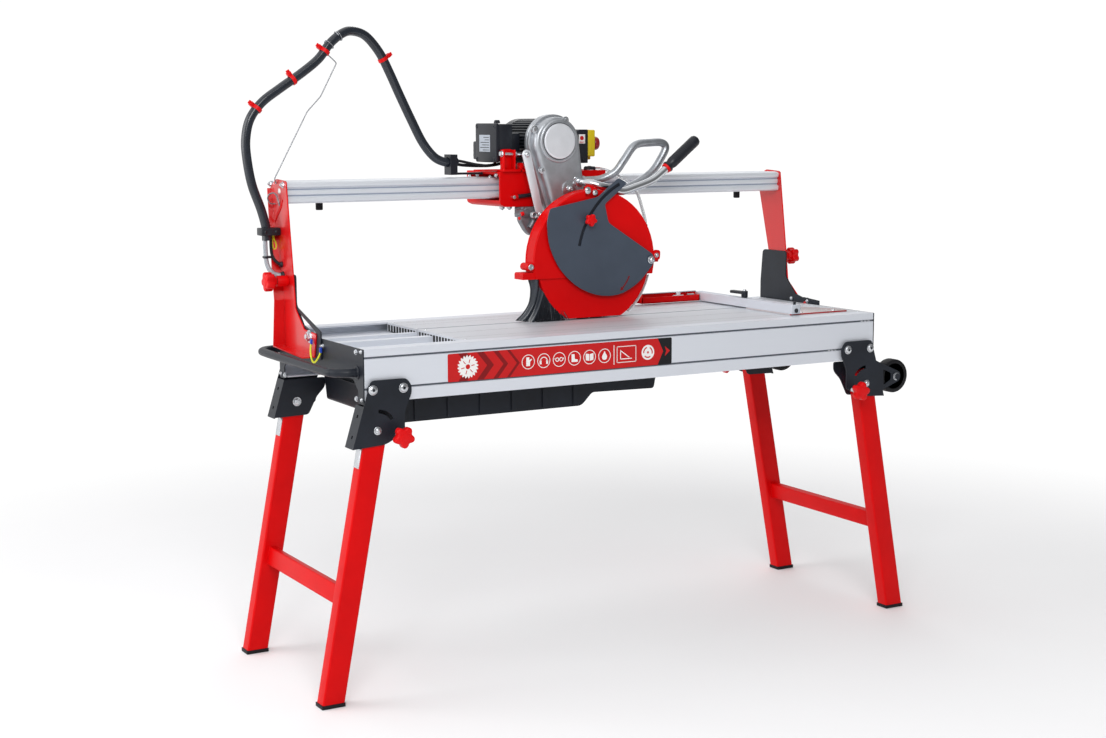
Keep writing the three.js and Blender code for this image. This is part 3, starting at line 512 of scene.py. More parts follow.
def tie(index):
    """A cable tie round the hose: a band, its lock and its cut tail."""
    at, along, across = hose_frame(index)
    outer, inner = HOSE_RADIUS + 2.2, HOSE_RADIUS - 0.6
    band = Shape().turn([(-5.2, inner), (-5.2, outer - 0.7), (-4.4, outer), (4.4, outer), (5.2, outer - 0.7),
                         (5.2, inner), (-5.2, inner)], (0, 0, 0), segments=28)
    band.box((outer - 2, outer + 9), (-7, 7), (-6, 6), 1.6)
    band.box((outer + 7, outer + 15), (-4.6, 0), (-5.2, 5.2), 1.2)
    turned = Matrix([(across[i], BACK[i], along[i], 0) for i in range(3)] + [(0, 0, 0, 1)])
    band.bm.transform(Matrix.Translation(at) @ turned)
    return band


ties = []
for number, (index, body) in enumerate(TIES, 1):
    ties.append(tie(index).make(f"hose_tie_{number}", RED_PLASTIC, body))
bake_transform(ties[-1])
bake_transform(hose)
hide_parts("conduit_hose")

# ------------------------------------------------------------------ CAD nodes that keep their shape
def finish_node(name, material, edge):
    """A CAD node keeps its shape and gets its finish, with its sharp edges broken."""
    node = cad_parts[name]
    node.data.materials.clear()
    node.data.materials.append(material)
    for face in node.data.polygons:
        face.material_index = 0
    node.modifiers.new("weld", "WELD").merge_threshold = 1e-5
    bevel = node.modifiers.new("edges", "BEVEL")
    bevel.width = edge / 1000
    bevel.segments = 2
    bevel.limit_method = "ANGLE"
    bevel.angle_limit = math.radians(40)
    bevel.harden_normals = True


for material, edge, names in (
    (ALUMINIUM, 0.6, "front_profile back_profile table_bed"),
    (BLACK_SHEET, 0.6, "left_end_plate right_end_plate mitre_plate_left mitre_plate_right"),
    (PANEL, 0.5, "front_panel back_panel"),
    (TRAY_PLASTIC, 1.2, "water_tray"),
    (BLACK_PLASTIC, 1.0, "water_pump column_hose_clamp carriage_hose_clamp"),
    (RED_GLOSS, 0.6, "left_column right_column"),
    (RED, 1.2, "carriage_block"),
    (STEEL, 0.5, "left_roller right_roller motor_rotor blade_spindle"),
    (STEEL, 0.2, "blade"),
    (RUBBER, 0.3, "drive_belt"),
    (RED_SHEET, 2.5, "blade_guard"),
    (RED_SHEET, 1.5, "lower_guard"),
    (SLATE, 0.8, "guard_cover"),
    (ALUMINIUM, 0.4, "fence_bar"),
):
    for name in names.split():
        finish_node(name, material, edge)
for end, side, _ in CORNERS:
    finish_node(f"leg_bracket_{end}_{side}", BLACK_SHEET, 0.6)
    finish_node(f"foot_cap_{end}_{side}", RUBBER, 1.5)

# ------------------------------------------------------------------ legs
LEAN = math.radians(10.7)
LEG_PIVOT = (32.0, 701.0)
LEG_HALF = 30.0
LEG_Y = (-6.3, 36.7)
LEG_CORNER = 6.0
FOOT_CUT = 10.0
BRACE_AT = 437.0
# distance down the leg from its pivot, and how far its corners are drawn in there
LEG_LEVELS = ((-34.0, 3.0), (-33.0, 1.0), (-31.0, 0), (0.0, 0), (200.0, 0), (400.0, 0), (550.0, 0))


def on_leg(distance, across=0.0):
    """The point (x, z) at a distance down the left leg from its pivot."""
    return (LEG_PIVOT[0] - distance * math.sin(LEAN) + across * math.cos(LEAN),
            LEG_PIVOT[1] - distance * math.cos(LEAN) - across * math.sin(LEAN))


def leg_tube():
    """One square leg: a round-cornered tube whose lower end is cut level."""
    outline = rounded(oblong((-LEG_HALF, LEG_HALF), LEG_Y, LEG_CORNER), 5)
    middle = sum(LEG_Y) / 2
    rings = []
    for level, k in (*LEG_LEVELS, (None, 0)):
        ring = []
        for u, y in outline:
            down = (LEG_PIVOT[1] - FOOT_CUT - u * math.sin(LEAN)) / math.cos(LEAN) if level is None else level
            x, z = on_leg(down, u - math.copysign(min(k, abs(u)), u))
            ring.append((x, y - math.copysign(min(k, abs(y - middle)), y - middle), z))
        rings.append(ring)
    return Shape().loft(rings)


brace_x, brace_z = on_leg(BRACE_AT)
BRACE_PLACE = Matrix.Translation((brace_x, 0, brace_z)) @ Matrix.Rotation(LEAN, 4, "Y")
for side, flips in SIDES:
    legs = leg_tube()
    legs.take(leg_tube().mirror("y").bm)
    legs.box((-12, 12), (30, WIDTH - 30), (-25, 25), 4.5, 4, BRACE_PLACE)
    far = WIDTH - LEG_Y[1]
    for span in ((LEG_Y[1] - 0.5, LEG_Y[1] + 3.0), (far - 3.0, far + 0.5)):
        legs.prism(rounded(oblong((-14.5, 14.5), (-27.5, 27.5), 6)), "y", span, 1.4, 2, BRACE_PLACE)
    legs.mirror(flips).make(f"{side}_legs", RED, f"{side}_legs", stands_for=f"{side}_leg_frame")
    pins = Shape()
    for flip in ("", "y"):
        x, z = LEG_PIVOT
        pin = Shape().peg([(-10.2, 9.0), (-3, 9.0), (-3, 6.0), (44, 6.0)], (x, 0, z), BACK, 24)
        pin.button((x, -10.2, z), FRONT, 8.0, 1.3, 0.8).hexagon((x, 40.7, z), BACK, 9.5, 7.5, 5.4, 12.5)
        strip = rounded(oblong((-LEG_HALF - 1.6, -LEG_HALF + 0.2), (52, 102), 1, 0, 0, 1), 3)
        pin.prism([on_leg(d, a) for a, d in strip], "y", (0.5, 31), 0.4)
        pins.take(pin.mirror(flip).bm)
    pins.mirror(flips).make(f"{side}_leg_bolts", STEEL, f"{side}_legs")


# ------------------------------------------------------------------ star knobs
def star_knob(at, axis, radius, thick, neck, collar, turn):
    """A five-lobed knob whose face stands at thick + neck above at, along axis."""
    top = thick + neck

    def star(angle):
        return 1 - 0.27 * (0.5 - 0.5 * math.cos(5 * (angle + turn))) ** 1.3

    return Shape().turn(
        [(neck - 0.2, 0), (neck, radius * 0.80), (neck + 1.2, radius * 0.93), (neck + 3.6, radius),
         (top - 4.2, radius), (top - 1.6, radius * 0.955), (top - 0.3, radius * 0.85), (top, radius * 0.70),
         (top, 0)], at, axis, 100, star,
    ).turn(
        [(top - 1, 0), (top - 1, radius * 0.50), (top + 0.9, radius * 0.47), (top + 1.2, radius * 0.40),
         (top + 0.8, 0)], at, axis, 40,
    ).peg([(0, collar * 0.86), (2, collar * 0.90), (neck - 3, collar), (neck + 1.5, collar * 1.16)], at, axis)


def knob_shank(at, axis, radius, depth, washer):
    """The threaded shank, going in from at against the axis, with the washer under the knob."""
    count = max(4, int(depth / 1.5))
    ridges = [(-depth + depth * i / count, radius * (1.0 if i % 2 else 0.86)) for i in range(count + 1)]
    return Shape().turn([(-depth, 0), *ridges, (0.4, radius), (0.4, 0)], at, axis, 20).peg(
        [(-1.8, washer), (-0.2, washer)], at, axis, 28)


LEG_KNOB, MITRE_KNOB, COVER_KNOB = (86, -30, 686), (-42, 479, 1043), (824, 276, 1192)
for (end, side, flips), turn in zip(CORNERS, (0.3, 0.7, 1.1, 0.1)):
    tag, body = f"{end}_{side}", f"leg_knob_{end[0]}{side[0]}"
    star_knob(LEG_KNOB, FRONT, 28, 22, 8, 11, turn).mirror(flips).make(
        f"leg_star_{tag}", RED_PLASTIC, body, stands_for=f"leg_knob_{tag}")
    knob_shank(LEG_KNOB, FRONT, 6, 22.7, 12).mirror(flips).make(f"leg_star_shank_{tag}", STEEL, body)
for side, flips in SIDES:
    body = f"mitre_knob_{side[0]}"
    star_knob(MITRE_KNOB, LEFT, 27, 24, 8, 13, 0.5).mirror(flips).make(
        f"mitre_star_{side}", RED_PLASTIC, body, stands_for=f"mitre_knob_{side}")
    Shape().peg([(-33.4, 13.6), (-32.6, 14.6), (-4, 14.6), (-2, 13.4)], MITRE_KNOB, LEFT,
                36).mirror(flips).make(
        f"mitre_star_spacer_{side}", RED, body, "red_plastic")
    Shape().peg([(-39.5, 5), (-33, 5)], MITRE_KNOB, LEFT, 24).mirror(flips).make(
        f"mitre_star_shank_{side}", STEEL, body)
star_knob(COVER_KNOB, FRONT, 18, 15, 3, 7.5, 0.2).make("cover_star", RED_PLASTIC, "star_knob",
                                                       stands_for="guard_knob")
knob_shank(COVER_KNOB, FRONT, 4, 16.6, 8.5).make("cover_star_shank", STEEL, "star_knob")

# ------------------------------------------------------------------ wheels
WHEEL = (1721.0, 713.0)
AXLE = (WHEEL[0], 0, WHEEL[1])
for end, flips in ENDS:
    body = f"{end}_wheel_body"
    tyre = Shape().turn([(-1.5, 38), (-3, 40), (-3, 46.5), (-1.6, 49), (1.2, 50), (26.8, 50), (29.6, 49),
                         (31, 46.5), (31, 40), (29.5, 38), (-1.5, 38)], AXLE, BACK, 64)
    for y in (8.0, 14.0, 20.0):
        tyre.turn([(y - 0.8, 49.6), (y - 0.8, 50.0), (y, 49.2), (y + 0.8, 50.0), (y + 0.8, 49.6)], AXLE, BACK,
                  64)
    tyre.mirror(flips).make(f"{end}_tyre", RUBBER, body, stands_for=f"{end}_wheel")
    disc = Shape().turn([(28, 38.2), (28, 36), (26.6, 35), (25, 17), (27, 14), (34, 13.4), (34, 6.4),
                         (-6.4, 6.4), (-6.4, 13), (-5.6, 13.8), (3, 15), (3, 34), (-0.6, 36), (-1, 38.2),
                         (28, 38.2)],
                        AXLE, BACK, 56)
    for i in range(5):
        spoke = Matrix.Translation(AXLE) @ Matrix.Rotation(2 * math.pi * i / 5, 4, "Y")
        disc.box((13, 36), (-0.4, 4), (-2.2, 2.2), 1.0, 2, spoke)
    disc.mirror(flips).make(f"{end}_wheel_disc", BLACK_PLASTIC, body)

# ------------------------------------------------------------------ smooth tubes
BEHIND = WIDTH + 11.3
Shape().tube([(-0.5, 38, 845), (-12, 38, 845), (-30, 42, 845), (-53, 64, 845), (-61, 102, 845),
              (-61, 290, 845), (-61, 515, 845), (-52, 562, 845), (-24, BEHIND - 2, 845), (12, BEHIND, 845),
              (60, BEHIND, 845)],
             11.0, 32, 10, UP).make("carry_bar", BLACK_SHEET, "root", stands_for="lift_handle")
Shape().peg([(0.2, 17), (2.0, 17), (2.6, 16), (2.8, 12.4), (5, 11.8)], (-0.2, 38, 845), LEFT, 36).peg(
    [(0, 10.8), (1.4, 10.0), (2.2, 7)], (60, BEHIND, 845),
    RIGHT).make("carry_bar_collar", BLACK_SHEET, "root")
Shape().tube([(852, 373.5, 1297), (852, 362, 1297), (866, 340, 1294), (890, 324, 1286), (922, 320, 1278),
              (960, 320, 1268), (1010, 320, 1280), (1062, 320, 1297), (1095, 320, 1318),
              (1110.6, 320, 1330.1)],
             11, 28, 10).make("plunge_bar", CHROME, "head", stands_for="handle_bar")
GRIP_FROM, GRIP_TO = Vector((1112, 320, 1331)), Vector((1222, 320, 1418))
grip_along, grip_end = (GRIP_TO - GRIP_FROM).normalized(), (GRIP_TO - GRIP_FROM).length
profile = [(6, 14), (7, 17), (12, 17), (13.4, 14.2), (20, 14.2), (24, 15.6), (28, 16.6)]
for at in (34 + i * 6.2 for i in range(13)):
    profile += [(at, 16.9), (at + 1.2, 15.7), (at + 3.4, 15.7), (at + 4.6, 16.9)]
profile += [(grip_end - back, r) for back, r in ((15, 17), (9, 16.2), (4, 13.4), (1.2, 9), (0, 4))]
Shape().peg(profile, GRIP_FROM, grip_along, 40).make("plunge_grip", BLACK_PLASTIC, "head",
                                                     stands_for="handle_grip")
Shape().peg([(-1.6, 12), (-0.6, 14.4), (5.2, 15.6), (6.2, 15.0)], GRIP_FROM, grip_along, 36).make(
    "plunge_grip_collar", RED_PLASTIC, "head")
LOOP_ENDS = ((876.5, 404, 1296), (883.5, 404, 1254))
Shape().tube([LOOP_ENDS[0], (890, 403, 1299), (934, 392, 1302), (974, 379, 1322), (1002, 375, 1356),
              (1030, 375, 1391), (1052, 375, 1403), (1090, 375, 1406), (1132, 375, 1406), (1147, 375, 1390),
              (1128, 375, 1355), (1102, 375, 1323), (1066, 375, 1299), (1024, 375, 1280), (974, 381, 1264),
              (924, 395, 1255), (896, 403, 1254), LOOP_ENDS[1]], 11.5, 28, 10).make(
    "loop_grip", GALVANISED, "head", stands_for="loop_handle")
sockets = Shape()
for at, towards in zip(LOOP_ENDS, ((1, -0.02, 0.2), (1, -0.04, 0.0))):
    sockets.peg([(-3, 15.5), (8, 15.5), (10, 14)], at, towards)
sockets.make("loop_sockets", CAST, "head")

# ------------------------------------------------------------------ motor
MOTOR, ARBOR = (780.0, 1409.0), (855.0, 1075.0)
MOTOR_AT = (MOTOR[0], 0, MOTOR[1])
near, far = 431.0, 616.0
FINS = 44


def fin(angle):
    """Straight cooling fins round the case."""
    return 1.0 if math.cos(FINS * angle) > 0.1 else 0.915


motor = Shape().turn([(near + 12, 0), (near + 12, 66.5), (near + 14, 68), (far - 48, 68), (far - 46, 66.5),
                      (far - 46, 0)], MOTOR_AT, BACK, 264, fin)
motor.turn([(near, 20), (near, 58), (near + 2, 62), (near + 9, 66), (near + 13, 67), (near + 13, 20),
            (near, 20)],
           MOTOR_AT, BACK, 72)
motor.peg([(far - 46, 68), (far - 10, 68), (far - 3, 66), (far, 62), (far + 12, 57), (far + 16, 50),
           (far + 16, 44), (far + 13, 43)], MOTOR_AT, BACK, 72)
for radius in (16, 26, 36):
    low, high = radius - 2.2, radius + 2.2
    motor.turn([(far + 12, low), (far + 15.4, low), (far + 15.4, high), (far + 12, high), (far + 12, low)],
               MOTOR_AT, BACK, 56)
for i in range(6):
    spoke = Matrix.Translation(MOTOR_AT) @ Matrix.Rotation(math.pi * i / 3, 4, "Y")
    motor.box((6, 46), (far + 11, far + 15.8), (-2, 2), 0.8, 2, spoke)
foot = rounded([(735, 1327.4, 0), (825, 1327.4, 0), (825, 1334, 3), (806, 1345, 6), (806, 1360, 2),
                (754, 1360, 2), (754, 1345, 6), (735, 1334, 3)], 4)
motor.prism(foot, "y", (470, 494), 0.8).prism(foot, "y", (576, 600), 0.8)
motor.box((748, 812), (470, 600), (1327.4, 1344), 1.5)
motor.make("motor_case", MOTOR_BLACK, "carriage", stands_for="motor_housing")
bolts = Shape()
for x in (743, 817):
    for y in (480, 590):
        bolts.hexagon((x, y, 1336.5), UP, 6.2, 4.4, 0, 8.5)
for angle in (0.5, 1.6, 2.7, 3.8, 5.6):
    x, z = polar(MOTOR, 60, angle)
    bolts.button((x, 615, z), BACK, 4.2, 0)
bolts.make("motor_bolts", STEEL, "carriage")

# ------------------------------------------------------------------ capacitor box beside the motor
box = Shape().prism(rounded(oblong((446, 572), (1353, 1464), 7), 5), "x", (617, 629), 3.0, 3)
box.prism(rounded(oblong((449, 569), (1356, 1461), 6), 5), "x", (628, 631))
box.prism(rounded(oblong((448, 570), (1355, 1462), 6), 5), "x", (630.5, 672), 2.0)
box.box((622, 668), (571, 598), (1360, 1412), 4.0, 3)
for z in (1372, 1386, 1400):
    box.box((623.5, 666.5), (597.5, 599.2), (z - 2, z + 2), 0.7)
box.box((671, 706), (466, 552), (1384, 1436), 3.0)
for y, z in ((455, 1362), (563, 1362), (455, 1455), (563, 1455)):
    box.peg([(-0.4, 6.2), (0.8, 6.0), (1.2, 5.2), (1.2, 3.2), (-0.2, 3.0)], (617, y, z), LEFT, 24)
box.make("capacitor_box", BLACK_PLASTIC, "carriage", stands_for="terminal_box")
Shape().hexagon((650, 500, 1464), UP, 9.5, 6, 7.5).make("capacitor_box_gland", BLACK_PLASTIC, "carriage")
Shape().box((616.3, 617.2), (481, 546), (1383, 1431), 0.3, 1).make("rating_plate_blank", PLATE, "carriage")
rules = Shape()
for i, end in enumerate((520, 512, 538, 530, 541, 524)):
    z = 1424 - i * 7.2
    rules.box((616.05, 616.5), (486, end), (z - 0.9, z + 0.9), 0)
rules.make("rating_plate_rules", PRINT_BLACK, "carriage")

# ------------------------------------------------------------------ switch box, yellow cover and stop button
switch = Shape().prism(rounded([(905, 1347, 6), (938, 1347, 3), (938, 1445, 3), (905, 1445, 6)], 4), "y",
                       (472, 545), 2.5, 3)
switch.box((850, 906), (490, 525), (1392, 1428), 3).box((933, 937.6), (474, 543), (1366, 1443))
for z in (1356, 1436):
    switch.button((921.5, 472.2, z), FRONT, 3.4, 0)
switch.make("switch_case", BLACK_PLASTIC, "carriage", stands_for="switch_box")
Shape().box((906.5, 928), (471.5, 472.3), (1404, 1431), 0.2,
            1).make("switch_sticker", PRINT_WHITE, "carriage")
marks = Shape().peg([(0, 6.5), (0.3, 6.5)], (917, 471.6, 1420), FRONT)
marks.box((909, 926), (471.2, 471.7), (1408, 1409.6), 0).box((909, 922), (471.2, 471.7), (1405.6, 1406.8), 0)
marks.make("switch_sticker_marks", PRINT_RED, "carriage")
Shape().box((936, 938.5), (478, 538), (1349, 1363), 0.6).make("switch_lower_button", SWITCH_GREEN, "carriage")

HOLE_AT, HOLE_RADIUS, HOLE_SIDES = (508.0, 1404.0), 9.4, 32
# how far the front wall reaches from the hole to the back, to the front, up and down
WALL_REACH = (31, 32, 32, 30)


def hood_front():
    """The flap's front wall, with a round hole for the stop button."""
    bm = bmesh.new()
    rings = []
    for x, at_edge in ((964.0, False), (964.0, True), (959.5, True), (959.5, False)):
        ring = []
        for angle in (2 * math.pi * i / HOLE_SIDES for i in range(HOLE_SIDES)):
            c, s = math.cos(angle), math.sin(angle)
            reach_y, reach_z = WALL_REACH[0 if c > 0 else 1], WALL_REACH[2 if s > 0 else 3]
            edge = 1 / max(abs(c) / reach_y, abs(s) / reach_z)
            ring.append(bm.verts.new((x, *polar(HOLE_AT, edge if at_edge else HOLE_RADIUS, angle))))
        rings.append(ring)
    skin(bm, [*rings, rings[0]], caps=False)
    return Shape().take(bm)


hood = hood_front()
for y in ((472, 476.5), (538.5, 543)):
    hood.box((938.6, 962.5), y, (1368, 1442), 1.8, 3)
hood.box((938.6, 962.8), (472.6, 542.4), (1431, 1444), 3.2, 3)
hood.box((938.6, 962.8), (472.6, 542.4), (1366, 1375), 3.0, 3)
hood.box((954, 963.6), (499, 517), (1356.5, 1370), 2.2, 3)
hood.peg([(-35, 3.4), (35, 3.4)], (941.4, 507.5, 1441), BACK, 20)
hood.make("switch_hood", YELLOW, "switch_flap", stands_for="switch_cover")
Shape().peg([(948, 8.4), (972.5, 8.4), (973, 14), (974, 18.6), (976, 20), (986, 20), (989.6, 18.4),
             (991.4, 14), (992, 8)], (0, 508, 1404), RIGHT,
            48).make("stop_mushroom", STOP_RED, "stop", stands_for="stop_button")

# ------------------------------------------------------------------ belt case
# how far the outline is drawn in, and the depth y where it is
CASE_RINGS = ((1.6, 430), (0.5, 429.5), (0, 428.4), (0, 418.2), (1.2, 417.6), (1.2, 415.4), (0, 414.8),
              (0, 403.6), (0.5, 402.5), (1.6, 402), (7.2, 402), (7.2, 389), (7.8, 383), (9.6, 378.6),
              (12.6, 375.6), (17, 374.2), (24, 374))
CAP_AT = (783.0, 374.0, 1413.0)
Shape().loft([[(x, y, z) for x, z in round_two(MOTOR, 80 - k, ARBOR, 46 - k, 40)] for k,
              y in CASE_RINGS]).make(
    "belt_housing", CAST, "head", stands_for="belt_case")
Shape().peg([(-2, 50.4), (5.0, 50.4), (6.6, 49.6), (7.4, 48), (7.6, 44), (7.4, 12), (7.8, 9)], CAP_AT, FRONT,
            72).make(
    "belt_cap", TURNED, "head", "cast_aluminium")
Shape().turn([(-1, 52.4), (2.2, 52.4), (3.6, 53.4), (3.8, 57.6), (2.4, 60.6), (0.4, 62), (-1, 62),
              (-1, 52.4)],
             CAP_AT, FRONT, 72).make("belt_cap_ring", CAST, "head")
# A thin black ring between the cap and its outer ring: a painted shadow line.
Shape().turn([(-1, 50.2), (1.2, 50.2), (1.2, 52.6), (-1, 52.6), (-1, 50.2)], CAP_AT, FRONT, 72).make(
    "belt_cap_painted_shadow_ring", RUBBER, "head")
bolts = Shape()
for x, z, r in ((707, 1447, 7), (731, 1332, 7), (809, 1473, 6.5)):
    bolts.peg([(-3, r * 1.6), (1.2, r * 1.5), (1.8, r * 1.2)], (x, 381, z), FRONT, 28)
    bolts.hexagon((x, 379.6, z), FRONT, r * 0.95, 4.4)
bolts.peg([(-1, 24), (2.6, 23), (3.4, 21)], (816, 374, 1277), FRONT, 40)
bolts.button((816, 370.8, 1277), FRONT, 8.2, 1.3)
bolts.peg([(-1, 6), (0.6, 6), (1.2, 5), (0.8, 2.6)], (839, 374, 1306), FRONT, 24)
bolts.peg([(-1, 16), (1.6, 15.4), (2.2, 14)], (852, 374.4, 1297), FRONT, 36)
for x, z in ((846, 1236), (792, 1232), (834, 1150)):
    bolts.button((x, 374.2, z), FRONT, 5.4, 1.2)
bolts.make("belt_housing_bolts", STEEL, "head")

# ------------------------------------------------------------------ carriage fittings
bracket = Shape().prism(rounded([(630, 1333, 3), (667, 1333, 3), (667, 1391, 8), (630, 1391, 8)], 4), "y",
                        (440, 444), 1.2)
for x in ((629, 634), (663, 668)):
    bracket.box(x, (421, 444), (1333, 1389), 1.4)
bracket.box((628, 684), (420, 466), (1327.3, 1334), 1.4)
bracket.prism(rounded([(680, 1333, 2), (692, 1333, 2), (692, 1352, 5), (680, 1352, 5)], 3), "y", (418, 440),
              1.2)
bracket.box((557, 633), (452, 470), (1330, 1334), 0.8)
bracket.peg([(0, 8), (5, 8), (6, 7)], (695, 424, 1334), FRONT, 28)
bracket.peg([(0, 5.4), (8, 5.4)], (695, 433, 1334), FRONT, 24)
bracket.peg([(0, 6.4), (2, 7.4), (12, 7.4), (14, 6)], (661, 425, 1255), (0.99, 0, 0.1), 28)
bracket.make("lift_bracket", RED, "carriage")

bolts = Shape().tube([(622, 431, 1378), (648, 431, 1377), (668, 431, 1376), (688, 431, 1375)], 4.4)
bolts.hexagon((628.6, 431, 1378), (-1, 0, 0.04), 7.5, 5.5, 0, 9)
bolts.hexagon((668.4, 431, 1376), (1, 0, -0.04), 7.5, 5.0, 0, 9)
bolts.button((688, 392.2, 1376), FRONT, 7.2, 1.2).button((731, 392.2, 1204), FRONT, 6.2, 1.2)
bolts.peg([(0, 5), (44, 5)], (688, 438, 1376), FRONT, 20)
bolts.box((694, 708), (422, 433), (1343, 1356), 2.0).button((701, 422.2, 1349), FRONT, 4.2, 0)
bolts.make("link_bar_bolts", STEEL, "carriage")
LINK_RINGS = ((397.5, 12.2), (397.0, 13.0), (396, 13.4), (393.6, 13.4), (392.6, 13.0), (392.1, 12.2))
Shape().loft([[(x, y, z) for x, z in round_two((688, 1376), r, (731, 1204), r - 1.4, 16)] for y,
              r in LINK_RINGS]).make(
    "link_bar", TURNED, "carriage")

spring = Shape().peg([(14, 4.4), (18, 5.8), (62, 5.8), (64, 5.0)], (661, 425, 1255), (0.995, 0, 0.09), 28)
spring.peg([(0, 4.2), (26, 4.2)], (724, 425, 1260.8), (0.995, 0, 0.09), 20)
spring.make("lift_spring", BLACK_PLASTIC, "carriage")
ends = Shape().peg([(-4, 8), (4, 8)], (752, 425, 1263.4), BACK, 28).hexagon((752, 421, 1263.4), FRONT, 6, 4)
ends.hexagon((661, 419, 1255), FRONT, 5.4, 3).peg([(-10, 4), (10, 4)], (661, 428, 1255), BACK, 20)
ends.make("lift_spring_ends", STEEL, "carriage")

block = Shape().prism(rounded([(672, 1190, 8), (690, 1160, 6), (704, 1146, 8), (722, 1143, 8), (748, 1166, 6),
                               (752, 1200, 8), (742, 1226.4, 3), (692, 1226.4, 3), (676, 1212, 6)], 5),
                      "y", (404, 428), 2.6, 3)
block.prism(rounded([(668, 1204, 5), (694, 1196, 5), (700, 1214, 5), (674, 1222, 5)], 4), "y", (396, 436), 2)
block.peg([(-20, 9), (16, 9), (17, 8)], (712, 404, 1204), FRONT)
block.peg([(0, 7), (26, 7)], (700, 398, 1168), (0.5, 0, 0.86), 28)
block.box((684, 740), (418, 462), (1196, 1226.5), 2.5, 3)
block.peg([(0, 13), (4, 12), (5, 10)], (728, 405, 1182), FRONT)
block.make("link_casting", CAST_GREY, "carriage")
coil = [(706 + 8 * math.cos(t), 393 - 0.6 * t, 1204 + 8 * math.sin(t)) for t in [0.35 * k for k in range(72)]]
Shape().sweep(coil, circle(1.5, 8)).make("link_spring", STEEL, "carriage")
caps = Shape().peg([(0, 6.0), (7, 6.0), (8, 5)], (678, 397, 1209), (-0.96, 0, -0.2), 24)
caps.peg([(0, 4.6), (6, 4.6), (7, 3.6)], (676, 410, 1196), (-0.9, -0.2, -0.2), 24)
caps.make("link_casting_caps", RED_PLASTIC, "carriage")

bolts = Shape()
for y, z in ((570, 1317), (492, 1310), (455, 1317), (620, 1310)):
    bolts.button((623, y, z), LEFT, 5.2, 1.3)
for x, y, z in ((648, 470, 1228), (672, 470, 1228), (727, 478, 1228), (905, 452, 1262), (752, 470, 1228)):
    bolts.hexagon((x, y, z), DOWN, 8.5, 6.5, 4.5, 11)
for x in (664, 930):
    bolts.hexagon((x, 446, 1327), UP, 7.5, 5, 4, 10)
for x in (860, 920):
    for y in (500, 610):
        bolts.hexagon((x, y, 1327), UP, 6.2, 4.4, 0, 8.5)
bolts.make("carriage_bolts", STEEL, "carriage")

lead("motor_lead", [(541, 544, 1348), (560, 545, 1345), (590, 545, 1343), (622, 548, 1342), (655, 560, 1342),
                    (690, 566, 1346), (712, 558, 1356), (718, 548, 1372), (716, 536, 1384)], 4.6, RUBBER,
     "carriage")
lead("capacitor_lead", [(541, 536, 1358), (562, 535, 1354), (588, 531, 1348), (606, 526, 1345),
                        (630, 520, 1343), (646, 516, 1346), (652, 515, 1353)], 4.0, RUBBER, "carriage")

# ------------------------------------------------------------------ blade guard
lugs = Shape().prism(rounded([(818, 1256, 8), (866, 1252, 8), (866, 1277, 10), (838, 1291, 10),
                              (820, 1288, 6)], 4),
                     "y", (293, 296), 1.6)
lugs.prism(rounded([(1040, 1066, 6), (1074, 1068, 8), (1076, 1096, 9), (1056, 1098, 6)], 4), "y", (290, 296),
           1.6)
lugs.make("guard_lugs", RED_SHEET, "head")
GUARD_RADIUS = 200.0
seams_and_groove_shade = Shape()
for y in (298.6, 340.4):
    bead = [polar(ARBOR, GUARD_RADIUS, math.radians(-8 + i * 4.0)) for i in range(-1, 50)]
    seams_and_groove_shade.sweep([(x, y, z) for x, z in bead], circle(1.3, 10))
seams_and_groove_shade.make("guard_seams", RED_SHEET, "head")
bolts = Shape().button((830, 293, 1275), FRONT, 7.6, 1.3, 0.45).button((854, 293, 1268), FRONT, 6.4, 1.3, 0.45)
bolts.peg([(0, 8.6), (2.4, 8.6), (3.4, 7.4), (3.4, 4), (1, 3.6)], (646, 297, 1064), FRONT)
bolts.button((1062, 290, 1082), FRONT, 5.6, 1.25).make("guard_bolts", STEEL, "head")
Shape().button((1037, 280.2, 1070), FRONT, 9.0, 1.3, 1.1).make("cover_pivot_bolt", STEEL, "cover")
Shape().prism(rounded([
    (712, 1222, 6), (856, 1250, 8), (926, 1303, 6), (949, 1293, 5), (903, 1256, 10), (876, 1236, 6),
    (888, 1180, 10), (1036, 1086, 10), (1036, 1062, 8), (996, 1013, 24), (934, 979, 36), (862, 980, 36),
    (794, 1006, 36), (736, 1060, 36), (704, 1127, 28), (699, 1188, 18)], 5), "y", (286.05, 287.4)).make(
    "cover_backing", BLACK_SHEET, "cover")

ARROW_REACH, ARROW_HALF, ARROW_FROM, ARROW_TO = 119.0, 1.9, -24.0, -44.0


def on_arrow(degrees, out):
    return polar(ARBOR, ARROW_REACH + out, math.radians(degrees))


steps = [ARROW_FROM + (ARROW_TO - ARROW_FROM) * i / 10 for i in range(11)]
Shape().prism([on_arrow(ARROW_TO - 5.5, 0), on_arrow(ARROW_TO, -6),
               *[on_arrow(a, -ARROW_HALF) for a in steps[::-1]], *[on_arrow(a, ARROW_HALF) for a in steps],
               on_arrow(ARROW_TO, 6)], "y", (282.65, 283.2)).make(
    "cover_arrow", PRINT_DARK, "cover")

# splash flap, brush and clear strip under the guard
FLAP_EDGES = ([(644, 1030), (652, 1000), (647, 962), (628, 934), (605, 914)],
              [(716, 1030), (702, 996), (690, 962), (680, 932), (668, 906)])
PLEATS = 2


def flap_rows():
    left, right = (smooth_path([(*p, 0) for p in edge], 6) for edge in FLAP_EDGES)
    rows = []
    for k, (a, b) in enumerate(zip(left, right)):
        t = k / 24
        rows.append([])
        for s in (m / (PLEATS * 12) for m in range(PLEATS * 12 + 1)):
            p = a.lerp(b, s)
            wave = math.sin(s * PLEATS * 2 * math.pi + 0.6) * (6.4 - 2.4 * t)
            rows[-1].append((p.x, 306 + 5 * t + wave, p.y))
    return rows


flap = Shape().slab(flap_rows(), (0, 2.6, 0)).make("splash_flap", FLAP_RUBBER, "head", smooth=60)
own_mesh(flap)
